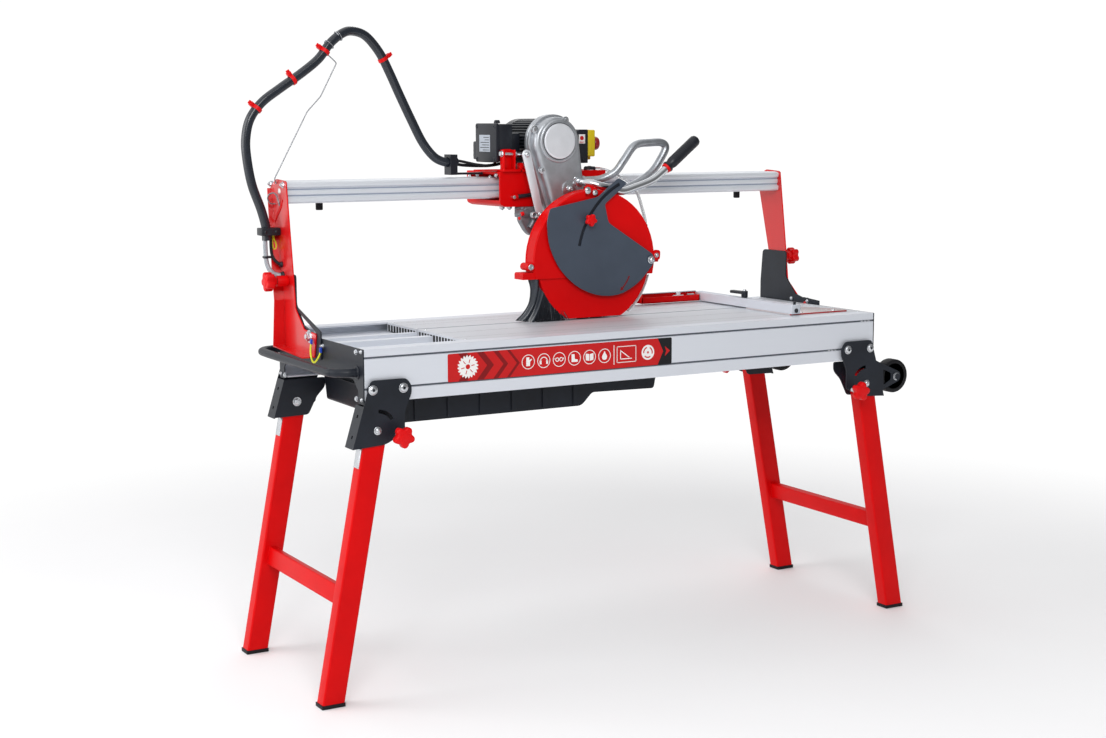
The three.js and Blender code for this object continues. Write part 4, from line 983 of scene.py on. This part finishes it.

# bristles of the brush, thin blades of dark nylon in staggered rows, and a few pale grey ones as painted glints
BRUSH_X, BRUSH_Y, BRUSH_TOP, BRUSH_TIP = (664, 772), (300, 329), 1004, 899
BRUSH_ROWS, BRUSH_PITCH = 9, 1.05
GLINT_SHARE = 0.10
BRISTLE_HALF = 0.62
BRISTLE_SECTION = ((-1, -0.6), (1, -0.6), (0, 1))
dice = random.Random(7)
dark, pale = bmesh.new(), bmesh.new()
brush_width = BRUSH_X[1] - BRUSH_X[0]
for r in range(BRUSH_ROWS):
    y = BRUSH_Y[0] + (BRUSH_Y[1] - BRUSH_Y[0]) * r / (BRUSH_ROWS - 1)
    for i in range(int(brush_width / BRUSH_PITCH)):
        x = BRUSH_X[0] + BRUSH_PITCH * (i + dice.random() * 0.9)
        share = (x - BRUSH_X[0]) / brush_width
        root = (694 + 34 * share, y, BRUSH_TOP - 20 * share - dice.random() * 2)
        end = (x + dice.uniform(-4, 4), y + dice.uniform(-4, 4),
               BRUSH_TIP + 14 * abs(share - 0.5) + dice.uniform(0, 9))
        mid = ((root[0] + x) / 2 + dice.uniform(-1, 1), y + dice.uniform(-1, 1), (root[2] + end[2]) / 2)
        # the pale bristles are painted highlights on the brush
        bm = pale if dice.random() < GLINT_SHARE else dark
        skin(bm, [[bm.verts.new((p[0] + k * a, p[1] + k * b, p[2])) for a, b in BRISTLE_SECTION]
                  for p, k in ((root, BRISTLE_HALF), (mid, BRISTLE_HALF), (end, BRISTLE_HALF * 0.55))])
Shape().take(dark).make("brush_bristles", BRISTLE, "head")
Shape().take(pale).make("brush_bristles_painted_glint", BRISTLE_GLINT, "head")
Shape().prism(rounded([(694, 1002, 2), (726, 984, 2), (754, 916, 3), (676, 916, 3)], 3), "y", (306, 324),
              1.0).make(
    "brush_core", BRISTLE, "head")
Shape().prism(rounded([(684, 1026, 2), (712, 1026, 2), (738, 986, 3), (736, 968, 3), (722, 966, 3),
                       (690, 990, 3)], 3),
              "y", (299, 332), 1.5).make("brush_holder", BLACK_PLASTIC, "head")
# across the strip: depth y, and how far it bows out to the right and down
STRIP_SECTION = ((304, 0), (310, 1.4), (320, 2.2), (330, 2.2), (336, 1.4), (340, 0))
rows = []
for i in range(25):
    x, z = polar(ARBOR, 197, math.radians(-15 - 36 * i / 24))
    rows.append([(x + bow, y, z - bow) for y, bow in STRIP_SECTION])
Shape().slab(rows, (-1.6, 0, 1.6)).make("clear_strip", PALE_VINYL, "head")

# ------------------------------------------------------------------ blade
SEGMENTS = 24
teeth = Shape()
for i in range(SEGMENTS):
    start, end = (2 * math.pi * (i + gap) / SEGMENTS for gap in (0.08, 0.92))
    inner = [polar(ARBOR, 166, start + (end - start) * k / 6) for k in range(7)]
    outer = [polar(ARBOR, 174.6, end - (end - start) * k / 6) for k in range(7)]
    teeth.prism(inner + outer, "y", (326.0, 330.0), 0.3, 1)
teeth.make("blade_segments", CAST_DARK, "spindle")
nut = Shape().turn([(20.2, 0), (20.2, 12.4), (0, 12.4), (0, 0)], (ARBOR[0], 326.2, ARBOR[1]), FRONT)
nut.hexagon((ARBOR[0], 326.4, ARBOR[1]), FRONT, 19, 12, 9, 40).make("blade_nut", STEEL, "spindle")

# ------------------------------------------------------------------ columns and rail
BRACES = {"left": [(262, 896), (262, 925), (434, 979), (434, 970), (292, 921), (300, 912)],
          "right": [(262, 894), (262, 920), (340, 925), (352, 912), (300, 904)]}
LIP = ((475, 1309), (459, 1203), (439, 1067), (427, 975), (422, 967), (368, 922), (360, 920), (290, 916.6))
for side, flips in SIDES:
    bolts = Shape().hexagon((-8.2, 586, 1301), LEFT, 6.5, 5, 3.2, 9).hexagon((-8.2, 494, 1301), LEFT, 6.5, 5, 3.2, 9)
    bolts.hexagon((-8.2, 328, 907), LEFT, 13, 8, 7, 17)
    bolts.mirror(flips).make(f"{side}_column_bolts", STEEL, "bridge")
    Shape().peg([(0, 7.5), (2.2, 7.0), (3.0, 5.4)], (-8.2, 520, 1284), LEFT, 28).mirror(flips).make(
        f"{side}_column_plug", PRINT_WHITE, "bridge")
    Shape().sweep([(-6.6, y, z) for y, z in LIP], circle(1.9, 10)).mirror(flips).make(
        f"{side}_column_edge", RED, "bridge")
    Shape().prism(BRACES[side], "x", (-4.4, -0.6), 0.5).mirror(flips).make(
        f"{side}_plate_brace", BLACK_SHEET, "root")
    screws = Shape().button((-0.5, 318, 914), RIGHT, 4.6, 1.3).button((-0.5, 398, 916), RIGHT, 4.6, 1.3)
    screws.mirror(flips).make(f"{side}_plate_screws", STEEL, "root")
    Shape().peg([(0.2, 8.5), (3, 10), (19, 10), (21.6, 8.6)], (114, 540, 1250), DOWN).mirror(flips).make(
        f"{side}_travel_stop", RUBBER, "bridge")
    bolts = Shape()
    for y, z in ((40, 897), (10, 900), (42, 778), (10, 779), (531, 778), (563, 779)):
        if 20 < y < 550:
            bolts.hexagon((0, y, z), LEFT, 5.6, 3.4, 0, 7.2)
        else:
            bolts.button((0, y, z), LEFT, 4.0, 1.3)
    bolts.mirror(flips).make(f"{side}_end_bolts", STEEL, "root")

bolts = Shape()
for _, _, flips in CORNERS:
    pair = Shape()
    for x in (21, 105):
        pair.peg([(-4.6, 8.2), (-0.2, 8.2), (-0.2, 12.6), (1.4, 12.6), (1.8, 11.8)], (x, -10.2, 805), FRONT,
                 36)
        pair.peg([(1.4, 10.8), (3.8, 10.6), (5.6, 9.2), (6.6, 6.6), (6.8, 4.0), (4.4, 3.6)], (x, -10.2, 805),
                 FRONT, 36)
    bolts.take(pair.mirror(flips).bm)
bolts.make("bracket_bolts", STEEL, "root")
caps = Shape()
for _, flips in ENDS:
    cap = Shape().turn([(0, 0), (0, 11.5), (1.4, 11.5), (1.8, 10.6), (4.4, 9.8), (5.6, 8), (5.8, 0)],
                       (WHEEL[0], -10, WHEEL[1]), FRONT, 36)
    cap.peg([(0, 9), (4, 9), (5, 8)], (WHEEL[0], 34.3, WHEEL[1]), BACK, 36)
    caps.take(cap.mirror(flips).bm)
caps.make("wheel_axle_caps", STEEL, "root")

# earth wire at the foot of the left column, its plate and lugs
lead("earth_wire_loop", [(-14, 303, 893), (-17, 301, 880), (-19, 296, 863), (-20, 284, 848), (-19, 271, 845),
                         (-15, 260, 855), (-10, 256, 867), (-8, 256, 876)], 2.4, EARTH_YELLOW,
     ("bridge", "root"), (row(-17, 300, 884), row(-16, 262, 852)))
Shape().box((-17, -11), (299, 307), (889, 903), 1.4).make("earth_wire_lug_column", TERMINAL_BLUE, "bridge")
Shape().box((-11, -4), (252, 260), (871, 885), 1.4).make("earth_wire_lug_plate", TERMINAL_BLUE, "root")
Shape().hexagon((0, 256, 889), LEFT, 4.6, 4.5, 2.6, 5.6).make("earth_wire_bolt_plate", STEEL, "root")


# the steel wire that holds the hose up, and the wires beside the hose
def wire_turn(index, start, end):
    """Part of a turn of the wire round the hose, from start to end in whole turns."""
    at, along, across = hose_frame(index)
    path = []
    for k in range(25):
        out = polar((0, 0), HOSE_RADIUS + 1.4, 2 * math.pi * (start + (end - start) * k / 24))
        path.append(at + across * out[0] + Vector(BACK) * out[1] + along * (5.0 * k / 24))
    return path


wire = Shape().sweep(bent([(-10, 540, 1303), (-15, 540, 1316), (85, 541, 1497), (125, 541, 1538),
                           (174, 541, 1629), (162, 541, 1640), (150, 541, 1650)]), circle(1.7, 12))
wire.sweep(wire_turn(95, -0.1, 1.1), circle(1.5, 10)).sweep(wire_turn(101, -0.2, 0.95), circle(1.5, 10))
wire.make("hose_support_wire", WIRE, "bridge")
lead("column_water_pipe", [(-45, 540, 1166), (-46, 540, 1148), (-46, 538, 1120), (-46, 534, 1095),
                           (-42, 528, 1075), (-33, 519, 1062), (-22, 511, 1057), (-14, 508, 1056),
                           (-9.4, 507, 1056)],
     6.4, VINYL_GREY, "bridge")
lead("column_cable", [(-31, 537, 1166), (-31, 537, 1150), (-31, 536, 1130), (-30, 533, 1112),
                      (-25, 526, 1097), (-17, 518, 1088), (-9.4, 515, 1085)], 4.2, RUBBER, "bridge")
glands = Shape().peg([(0, 10.4), (3, 10.4), (4, 9), (9, 8.4)], (-8.2, 507, 1056), LEFT, 28)
glands.peg([(0, 8), (3, 8), (4, 6.6), (8, 6.2)], (-8.2, 515, 1085), LEFT, 28)
glands.make("column_glands", BLACK_PLASTIC, "bridge")
Shape().prism(rounded([(-54.4, 526.4, 7), (-25.4, 526.4, 6), (-25.4, 546, 6), (-54.4, 546, 7)], 4), "z",
              (1102, 1108), 0.8).make("column_strap", BLACK_PLASTIC, "bridge")
lead("column_earth_wire", [(-21, 544, 1166), (-18, 545, 1153), (-13, 545, 1141), (-13, 544, 1131),
                           (-18, 543, 1125), (-23, 542, 1131), (-24.4, 542, 1144), (-24.4, 543, 1165)], 2.2,
     EARTH_YELLOW, "bridge")
Shape().box((-63, -8.6), (518, 557), (1163.6, 1184.4), 2.5,
            3).make("column_clamp_cover", BLACK_PLASTIC, "bridge")
Shape().button((-52, 518, 1174), FRONT, 4.6, 0).button((-22, 518, 1174), FRONT, 4.6, 0).make(
    "column_clamp_screws", BLACK_PLASTIC, "bridge")
Shape().tube([(-8.6, 556, 1248), (-22, 556, 1250), (-30, 554, 1262), (-28, 548, 1274), (-18, 540, 1278),
              (-13, 530, 1270), (-12, 522, 1256), (-9, 520, 1244)], 2.0,
             12).make("column_hook", WIRE, "bridge")
Shape().prism(rounded([(498, 1262, 3), (540, 1226, 3), (560, 1196, 3), (508, 1240, 3)], 3), "x", (-9.6, -8.0),
              0.3).make("column_web_rib", RED, "bridge")

# ------------------------------------------------------------------ rail
RAIL_MIDDLE_Y, RAIL_MIDDLE_Z = 540.0, 1280.0
RAIL_QUARTER = [(489.0, 1250.0, 6), (480.0, 1253.5, 8), (480.0, 1265.5, 4), (486.5, 1268.5, 3),
                (487.4, 1270.5, 1), (487.4, 1273.4, 1), (484.6, 1275.6, 3)]
half = RAIL_QUARTER + [(y, 2 * RAIL_MIDDLE_Z - z, r) for y, z, r in reversed(RAIL_QUARTER)]
section = half + [(2 * RAIL_MIDDLE_Y - y, z, r) for y, z, r in reversed(half)]
extrusion = Shape().prism(rounded(section, 5), "x", (-4.7, LENGTH + 4.7))
# Dark strips laid in the rail's grooves, painted shade for the shadow inside them.
groove_shade_strips = Shape()
for y in (487.1, 592.5):
    for z in (1269.6, 1286.0):
        groove_shade_strips.box((-4.6, LENGTH + 4.6), (y, y + 0.4), (z, z + 4.4), 0)
groove_shade_strips.make("rail_groove_painted_shade", RAIL_SHADE, "bridge")
extrusion.make("rail_extrusion", RAIL_ALUMINIUM, "bridge", stands_for="rail", smooth=50)

# ------------------------------------------------------------------ front label
# Thin printed layers on the front profile, drawn in x and z.
(x0, x1), (z0, z1) = (235.0, 923.0), (807.0, 880.0)
MIDDLE = (z0 + z1) / 2


def printed(name, material, level, *outlines):
    layer = Shape()
    for outline in outlines:
        layer.prism(outline, "y", (-0.18 - 0.1 * level, -0.02))
    layer.make(name, material, "root")


def ring_band(centre, outer, inner, start=0.0, end=360.0, steps=28):
    angles = [math.radians(start + (end - start) * i / steps) for i in range(steps + 1)]
    return [polar(centre, outer, a) for a in angles] + [polar(centre, inner, a) for a in reversed(angles)]


def stroke(a, b, width):
    """A straight line of a given width from a to b."""
    u, v = Vector((b[0] - a[0], b[1] - a[1])).normalized() * width / 2
    return [(a[0] - v, a[1] + u), (b[0] - v, b[1] + u), (b[0] + v, b[1] - u), (a[0] + v, a[1] - u)]


printed("label_base", PRINT_RED, 0, rounded(oblong((x0, x1), (z0, z1), 5), 4))
printed("label_chevrons", PRINT_DARK, 1, *[
    [(x, z0 + 0.4), (x + width, z0 + 0.4), (x + width + 30, MIDDLE), (x + width, z1 - 0.4), (x, z1 - 0.4),
     (x + 30, MIDDLE)] for x, width in ((x0 + 30, 26), (x0 + 84, 20), (x0 + 132, 14), (x0 + 172, 9))])
# a round saw blade with teeth at the left end
ICON_AT, DISC_AT = (x0 + 58, MIDDLE), (x1 - 78, MIDDLE)
TEETH = 20
white = [[polar(ICON_AT, radius, 2 * math.pi * (i + share) / TEETH) for i in range(TEETH)
          for share, radius in ((0.0, 27.5), (0.18, 31.0), (0.62, 27.5), (0.8, 24.5))]]
# outline pictograms, from their centres: gloves, ear defenders, goggles, boots, a book and a drop
PICTOGRAMS = (
    [[(-6, -11), (5, -11), (6, 1), (11, 5), (9, 8), (3, 4), (3, 12), (-6, 12)]],
    [ring_band((0, -1), 11.5, 9.2, 0, 180, 20), oblong((-13, -7), (-9, 1)), oblong((7, 13), (-9, 1))],
    [ring_band((-6, 0), 5.8, 3.6), ring_band((6, 0), 5.8, 3.6), [(-14, 1), (-11, -1), (-11, 2), (-14, 5)],
     [(14, 1), (11, -1), (11, 2), (14, 5)]],
    [[(-9, -10), (10, -10), (10, -4), (1, -2), (0, 11), (-9, 11)]],
    [[(-12, -8), (-1, -10), (-1, 8), (-12, 10)], [(1, -10), (12, -8), (12, 10), (1, 8)]],
    [[(0, 13), *[polar((0, -3), 8, math.radians(32 - 12.2 * k)) for k in range(21)]]],
)
FIRST, PITCH_X = x0 + 236, 47.0
for i, outlines in enumerate(PICTOGRAMS):
    x = FIRST + i * PITCH_X
    white.append(ring_band((x, MIDDLE), 19.5, 17.6, -90, 270, 36))
    white += [[(x + u, MIDDLE + v) for u, v in outline] for outline in outlines]
x = FIRST + 6 * PITCH_X - 18
white.append(oblong((x, x + 2), (z0 + 10, z1 - 10)))
(a, b), (c, d), line = (x + 10, x + 72), (z0 + 14, z1 - 14), 1.8
white += [oblong((a, b), (c, c + line)), oblong((a, b), (d - line, d)), oblong((a, a + line), (c, d)),
          oblong((b - line, b), (c, d))]
white += [stroke((a + 12, z0 + 24), (a + 12, z1 - 24), 2.4),
          stroke((a + 12, z0 + 24), (a + 48, z0 + 24), 2.4),
          stroke((a + 12, z1 - 26), (a + 40, z0 + 27), 2.4), circle(20.5, 40, DISC_AT)]
printed("label_white", PRINT_WHITE, 2, *white)
marks = [circle(6.5, 40, ICON_AT), circle(3.2, 40, DISC_AT)]
marks += [ring_band(DISC_AT, 15.5, 12.0, start + 12, start + 96, 16) for start in (90, 210, 330)]
for angle in (math.radians(60 * i + 12) for i in range(6)):
    marks.append(stroke(polar(ICON_AT, 10, angle), polar(ICON_AT, 20, angle), 2.2))
printed("label_red_marks", PRINT_RED, 3, *marks)
printed("label_black_end", PRINT_BLACK, 2,
        rounded([(x1 - 46, z0, 0), (x1, z0, 5), (x1, z1, 5), (x1 - 46, z1, 0), (x1 - 28, MIDDLE, 0)], 4))
printed("label_arrow", PRINT_RED, 3,
        [(x1 - 23, MIDDLE - 14), (x1 - 6, MIDDLE), (x1 - 23, MIDDLE + 14), (x1 - 18, MIDDLE)])

# ------------------------------------------------------------------ table details
screws = Shape()
for x in (318, 1628):
    for y in (62, 300, 350, 510):
        screws.peg([(0, 4.6), (0.5, 4.4), (0.9, 3.4), (0.7, 1.6)], (x, y, TOP), UP, 24)
screws.make("table_screws", STEEL, "root")
# Black sheets just inside the open ends of the panels, between the ribs: painted shade in the hollows.
void_shade_sheets = Shape()
for start, end, ribs in ((51.5, 321.0, 15), (335.0, WIDTH - 51.5, 10)):
    pitch = (end - start - 4) / ribs
    for i in range(ribs):
        y = start + i * pitch + 4
        for x in (306.2, 1634.5):
            void_shade_sheets.box((x, x + 0.8), (y, y + pitch - 4), (882.4, 900.8), 0)
void_shade_sheets.make("panel_void_painted_shade", RUBBER, "root")
# Dark strips in the profile's slots and along the gaps between profiles and panels: painted shade.
seams_and_groove_shade = Shape()
for y in ((2.4, 3.0), (WIDTH - 3.0, WIDTH - 2.4)):
    for z in (885.0, 806.0):
        seams_and_groove_shade.box((3.4, LENGTH - 3.4), y, (z - 2.0, z + 2.0), 0)
for y in (50.5, WIDTH - 50.5):
    seams_and_groove_shade.box((305, LENGTH - 3.4), (y - 0.8, y + 0.8), (884, 904.5), 0)
nuts = Shape()
for x, z in ((1590, 885), (1603, 885), (1616, 885), (1470, 806), (1482, 806), (1494, 806)):
    nuts.box((x, x + 8), (0.8, 3.2), (z - 1.9, z + 1.7), 0.4)
nuts.make("profile_slot_nuts", STEEL, "root")
seams_and_groove_shade.make("profile_groove_painted_shade", SEAM_SHADE, "root")
lines = Shape()
for y in (107.0, 213.0, 431.0, 486.0):
    lines.box((305.2, LENGTH - 3.6), (y - 0.45, y + 0.45), (TOP - 0.2, TOP + 0.06), 0)
lines.make("panel_lines", PRINT_BLACK, "root")
drain = Shape().peg([(0, 17), (4, 17), (5, 15), (5, 11), (12, 10.4), (13, 9)], (642, 290, 703.4), DOWN, 36)
drain.peg([(-3, 11), (7, 11), (8, 9.6)], (675, 292, 722), (0.55, 0, -0.83), 28)
drain.make("tray_drain", BLACK_PLASTIC, "root")
grille = Shape().peg([(0, 30), (3, 33), (6, 33)], (230, 430, 775), UP, 40)
for i in range(14):
    slot = Matrix.Translation((230, 430, 0)) @ Matrix.Rotation(2 * math.pi * i / 14, 4, "Z")
    grille.box((35.2, 37.0), (-2.2, 2.2), (712, 732), 0.5, 1, slot)
grille.make("pump_grille", BLACK_PLASTIC, "root")

# ------------------------------------------------------------------ fence
FENCE_X = 1385.0
Shape().prism(rounded([(FENCE_X, 72, 1), (1600, 72, 8), (1600, 120, 6), (1480, 290, 20), (FENCE_X, 290, 1)],
                      5), "z",
              (TOP + 0.3, TOP + 4), 0.5).make("fence_quadrant", PALE_ACRYLIC, "fence",
                                              stands_for="fence_base")
SCALE_AT, SCALE_RADIUS = (1402, 96), 168
PRINT_Z = (TOP + 3.95, TOP + 4.15)
scale = Shape()
for k in range(31):
    angle = math.radians(6 + k * 2.4)
    a, b = (polar(SCALE_AT, r, angle) for r in (SCALE_RADIUS - (6.5 if k % 5 else 11), SCALE_RADIUS))
    # only what lies inside the quadrant and its sloping edge
    if b[0] < 1596 and b[1] <= 268 and (b[0] - 1480) / 120 + (b[1] - 120) / 170 < 0.98:
        scale.prism(stroke(a, b, 0.8), "z", PRINT_Z)
for k in range(28):
    y = 80 + k * 7.5
    scale.prism(stroke((FENCE_X + 31.5, y), (FENCE_X + (37 if k % 4 else 41), y), 0.8), "z", PRINT_Z)
scale.make("fence_graduations", PRINT_RED, "fence")
screws = Shape()
for x, y in ((1440, 92), (1560, 92), (1440, 262), (1500, 178), (1455, 140)):
    screws.peg([(0, 5.6), (1.2, 5.2), (2.0, 3.8), (1.4, 1.8)], (x, y, TOP + 4), UP, 28)
screws.make("fence_screws", STEEL, "fence")

lx, ly, lz = FENCE_X + 15, 318.0, TOP + 31
lever = Shape().prism(rounded([(lx - 9, ly - 9, 7), (lx + 9, ly - 9, 7), (lx + 3, ly + 60, 6),
                               (lx - 15, ly + 59, 6)],
                              5), "z", (lz + 10, lz + 19), 2.6, 3)
lever.peg([(0.3, 9), (2, 10), (19, 10), (20, 9)], (lx, ly, lz), UP, 36)
lever.make("fence_lock_lever", BLACK_PLASTIC, "fence_clamp", stands_for="fence_lever")
Shape().button((lx, ly, lz + 20), UP, 5.4, 0).make("fence_lock_screw", STEEL, "fence_clamp")

sx, sy, sz = (1170.0, FENCE_X - 0.3), (534.0, 562.0), (TOP + 4, TOP + 34)
low_wall, high_wall = (sz[0], sz[0] + 19), (sz[0], sz[1] - 2)
square = Shape().box(sx, (sy[0], sy[0] + 3.4), low_wall, 0.9).box(sx, (sy[1] - 3.4, sy[1]), high_wall, 0.9)
square.box(sx, sy, (sz[0], sz[0] + 3), 0.8).box((sx[0], sx[0] + 4), sy, high_wall, 0.9)
square.box((sx[1] - 4, sx[1]), sy, low_wall, 0.9)
square.prism([(1112, sz[0]), (1172, sz[0]), (1172, sz[1] - 3)], "y", (sy[1] - 5, sy[1]), 0.7)
square.make("fence_square_shell", RED, "fence", stands_for="fence_square")
strip = Shape().box((sx[0] - 14, sx[1] - 2), (sy[1] - 9, sy[1]), (sz[1] - 2.2, sz[1]), 0.5)
strip.box((sx[0] - 14, sx[0] - 10), (sy[1] - 7, sy[1] - 2), (sz[0] + 6, sz[1] - 1), 0.5)
strip.make("fence_square_strip", ALUMINIUM, "fence")
nut = Shape().box((1296, 1330), (540.4, 556.4), (TOP + 10, TOP + 24), 2.0, 3)
nut.peg([(0, 7), (9, 7), (10, 6)], (1313, 548, TOP + 23), UP, 28).make("fence_clear_nut", PALE_VINYL, "fence")
Shape().peg([(0, 5.4), (1, 6.6), (24, 6.6), (25, 5.4)], (1346, 548, TOP + 20), RIGHT, 28).make(
    "fence_roller", STEEL, "fence")
nuts = Shape()
for y in (120, 210, 420, 500):
    nuts.box((FENCE_X + 11.3, FENCE_X + 18.7), (y, y + 12), (TOP + 24.6, TOP + 27.4), 0.8)
    nuts.button((FENCE_X + 15, y + 6, TOP + 27.2), UP, 3.2, 0)
nuts.make("fence_bar_nuts", STEEL, "fence")
caps = Shape()
for y in ((63.2, 66.2), (559.8, 562.8)):
    caps.box((FENCE_X - 0.6, FENCE_X + 30.6), y, (TOP + 4, TOP + 31))
caps.make("fence_bar_caps", ALUMINIUM, "fence")
Shape().button((FENCE_X + 15, 63.2, TOP + 14), FRONT, 4.6, 1.4).peg(
    [(0, 4), (9, 4)], (FENCE_X + 15, 72, TOP + 31), UP, 20).make("fence_end_screw", BLACK_PLASTIC, "fence")
trim = Shape()
for a, b in (((FENCE_X, 72.5), (1594, 72.5)), ((1599.5, 78), (1599.5, 118)), ((1598, 122), (1486, 281)),
             ((FENCE_X + 31, 72), (FENCE_X + 31, 289))):
    trim.prism(stroke(a, b, 1.6), "z", (TOP + 0.4, TOP + 4.1))
trim.make("fence_quadrant_edge", SCALE_RED, "fence")

# ------------------------------------------------------------------ water tube
lead("water_tube", [(935, 446, 1331), (958, 446, 1331), (984, 441, 1325), (1008, 428, 1312),
                    (1030, 413, 1297), (1046, 403, 1282), (1062, 397, 1260), (1068, 390, 1236),
                    (1068, 376, 1210), (1061, 354, 1189), (1050, 334, 1177), (1043, 325, 1170)], 4.8, VINYL,
     ("carriage", "head"), (row(950, 446, 1331), row(1040, 330, 1180)))
fitting = Shape().peg([(-4, 8.4), (5, 8.4), (6, 7.4), (18, 6.6)], (927, 446, 1331), RIGHT)
fitting.peg([(0, 7), (26, 7)], (930, 472, 1331), FRONT, 28).make("water_fitting", BLACK_PLASTIC, "carriage")
Shape().peg([(-6, 7.4), (4, 7.4), (6, 6), (10, 5.6)], (1038, 322, 1165), (0.9, 0.1, 0.44), 28).make(
    "water_inlet", BLACK_PLASTIC, "head")

# ------------------------------------------------------------------ floor, light
FLOOR_RADIUS = 6.0
FLOOR_FADE = (1.7, 3.6)
FLOOR_WHITE = 1.04


def floor_finish():
    """Matt and pale under the saw, and fading to plain white further out."""
    material = surface("pale_floor", None, (0.90, 0.90, 0.91), 0.85, vary=0.01, patch=1, grain=60, bump=0.02)
    nodes, link = material.node_tree.nodes, material.node_tree.links.new
    where = nodes.new("ShaderNodeTexCoord")
    distance = nodes.new("ShaderNodeVectorMath")
    distance.operation = "LENGTH"
    link(where.outputs["Object"], distance.inputs[0])
    fade = nodes.new("ShaderNodeMapRange")
    fade.interpolation_type = "SMOOTHSTEP"
    fade.inputs["From Min"].default_value, fade.inputs["From Max"].default_value = FLOOR_FADE
    link(distance.outputs["Value"], fade.inputs["Value"])
    glow = nodes.new("ShaderNodeEmission")
    glow.inputs["Strength"].default_value = FLOOR_WHITE
    blend = nodes.new("ShaderNodeMixShader")
    link(fade.outputs["Result"], blend.inputs["Fac"])
    link(nodes["Principled BSDF"].outputs["BSDF"], blend.inputs[1])
    link(glow.outputs["Emission"], blend.inputs[2])
    link(blend.outputs["Shader"], nodes["Material Output"].inputs["Surface"])
    return material


floor = Shape().turn([(-0.02, FLOOR_RADIUS), (-0.0005, FLOOR_RADIUS)], (0, 0, 0), segments=96)
floor.bm.transform(TO_ROW.inverted())
floor = floor.make("floor", floor_finish(), None)

WORLD_LOW, WORLD_HIGH = 0.22, 1.0
WORLD_BRIGHT_SIDE = (-0.75, 0.45, 0.5)
world = bpy.data.worlds.new("studio")
bpy.context.scene.world = world
world.use_nodes = True
nodes, link = world.node_tree.nodes, world.node_tree.links.new
background = nodes["Background"]
background.inputs["Color"].default_value = (1, 1, 1, 1)
direction = nodes.new("ShaderNodeTexCoord")
towards = nodes.new("ShaderNodeVectorMath")
towards.operation = "DOT_PRODUCT"
towards.inputs[1].default_value = WORLD_BRIGHT_SIDE
link(direction.outputs["Generated"], towards.inputs[0])
level = nodes.new("ShaderNodeMapRange")
level.interpolation_type = "SMOOTHSTEP"
level.inputs["From Min"].default_value = -0.35
level.inputs["From Max"].default_value = 0.65
level.inputs["To Min"].default_value = WORLD_LOW
level.inputs["To Max"].default_value = WORLD_HIGH
link(towards.outputs["Value"], level.inputs["Value"])
seen = nodes.new("ShaderNodeLightPath")
strength = nodes.new("ShaderNodeMix")
link(seen.outputs["Is Camera Ray"], strength.inputs["Factor"])
link(level.outputs["Result"], strength.inputs["A"])
strength.inputs["B"].default_value = FLOOR_WHITE
link(strength.outputs["Result"], background.inputs["Strength"])


def softbox(name, at, towards, size, power):
    data = bpy.data.lights.new(name, "AREA")
    data.shape = "RECTANGLE"
    data.size, data.size_y = size
    data.energy = power
    light = bpy.data.objects.new(name, data)
    bpy.context.scene.collection.objects.link(light)
    light.matrix_world = facing(at, Vector(at) - Vector(towards))


softbox("key", (-2.2, -3.8, 3.4), (0, 0, 0.8), (2.4, 2.0), 120)
softbox("side", (-4.2, 1.4, 2.2), (0, 0, 0.9), (2.4, 3.0), 60)
softbox("back", (2.5, 3.6, 3.6), (0, 0, 0.9), (3.0, 2.0), 22)
bpy.context.scene.view_settings.view_transform = "Standard"
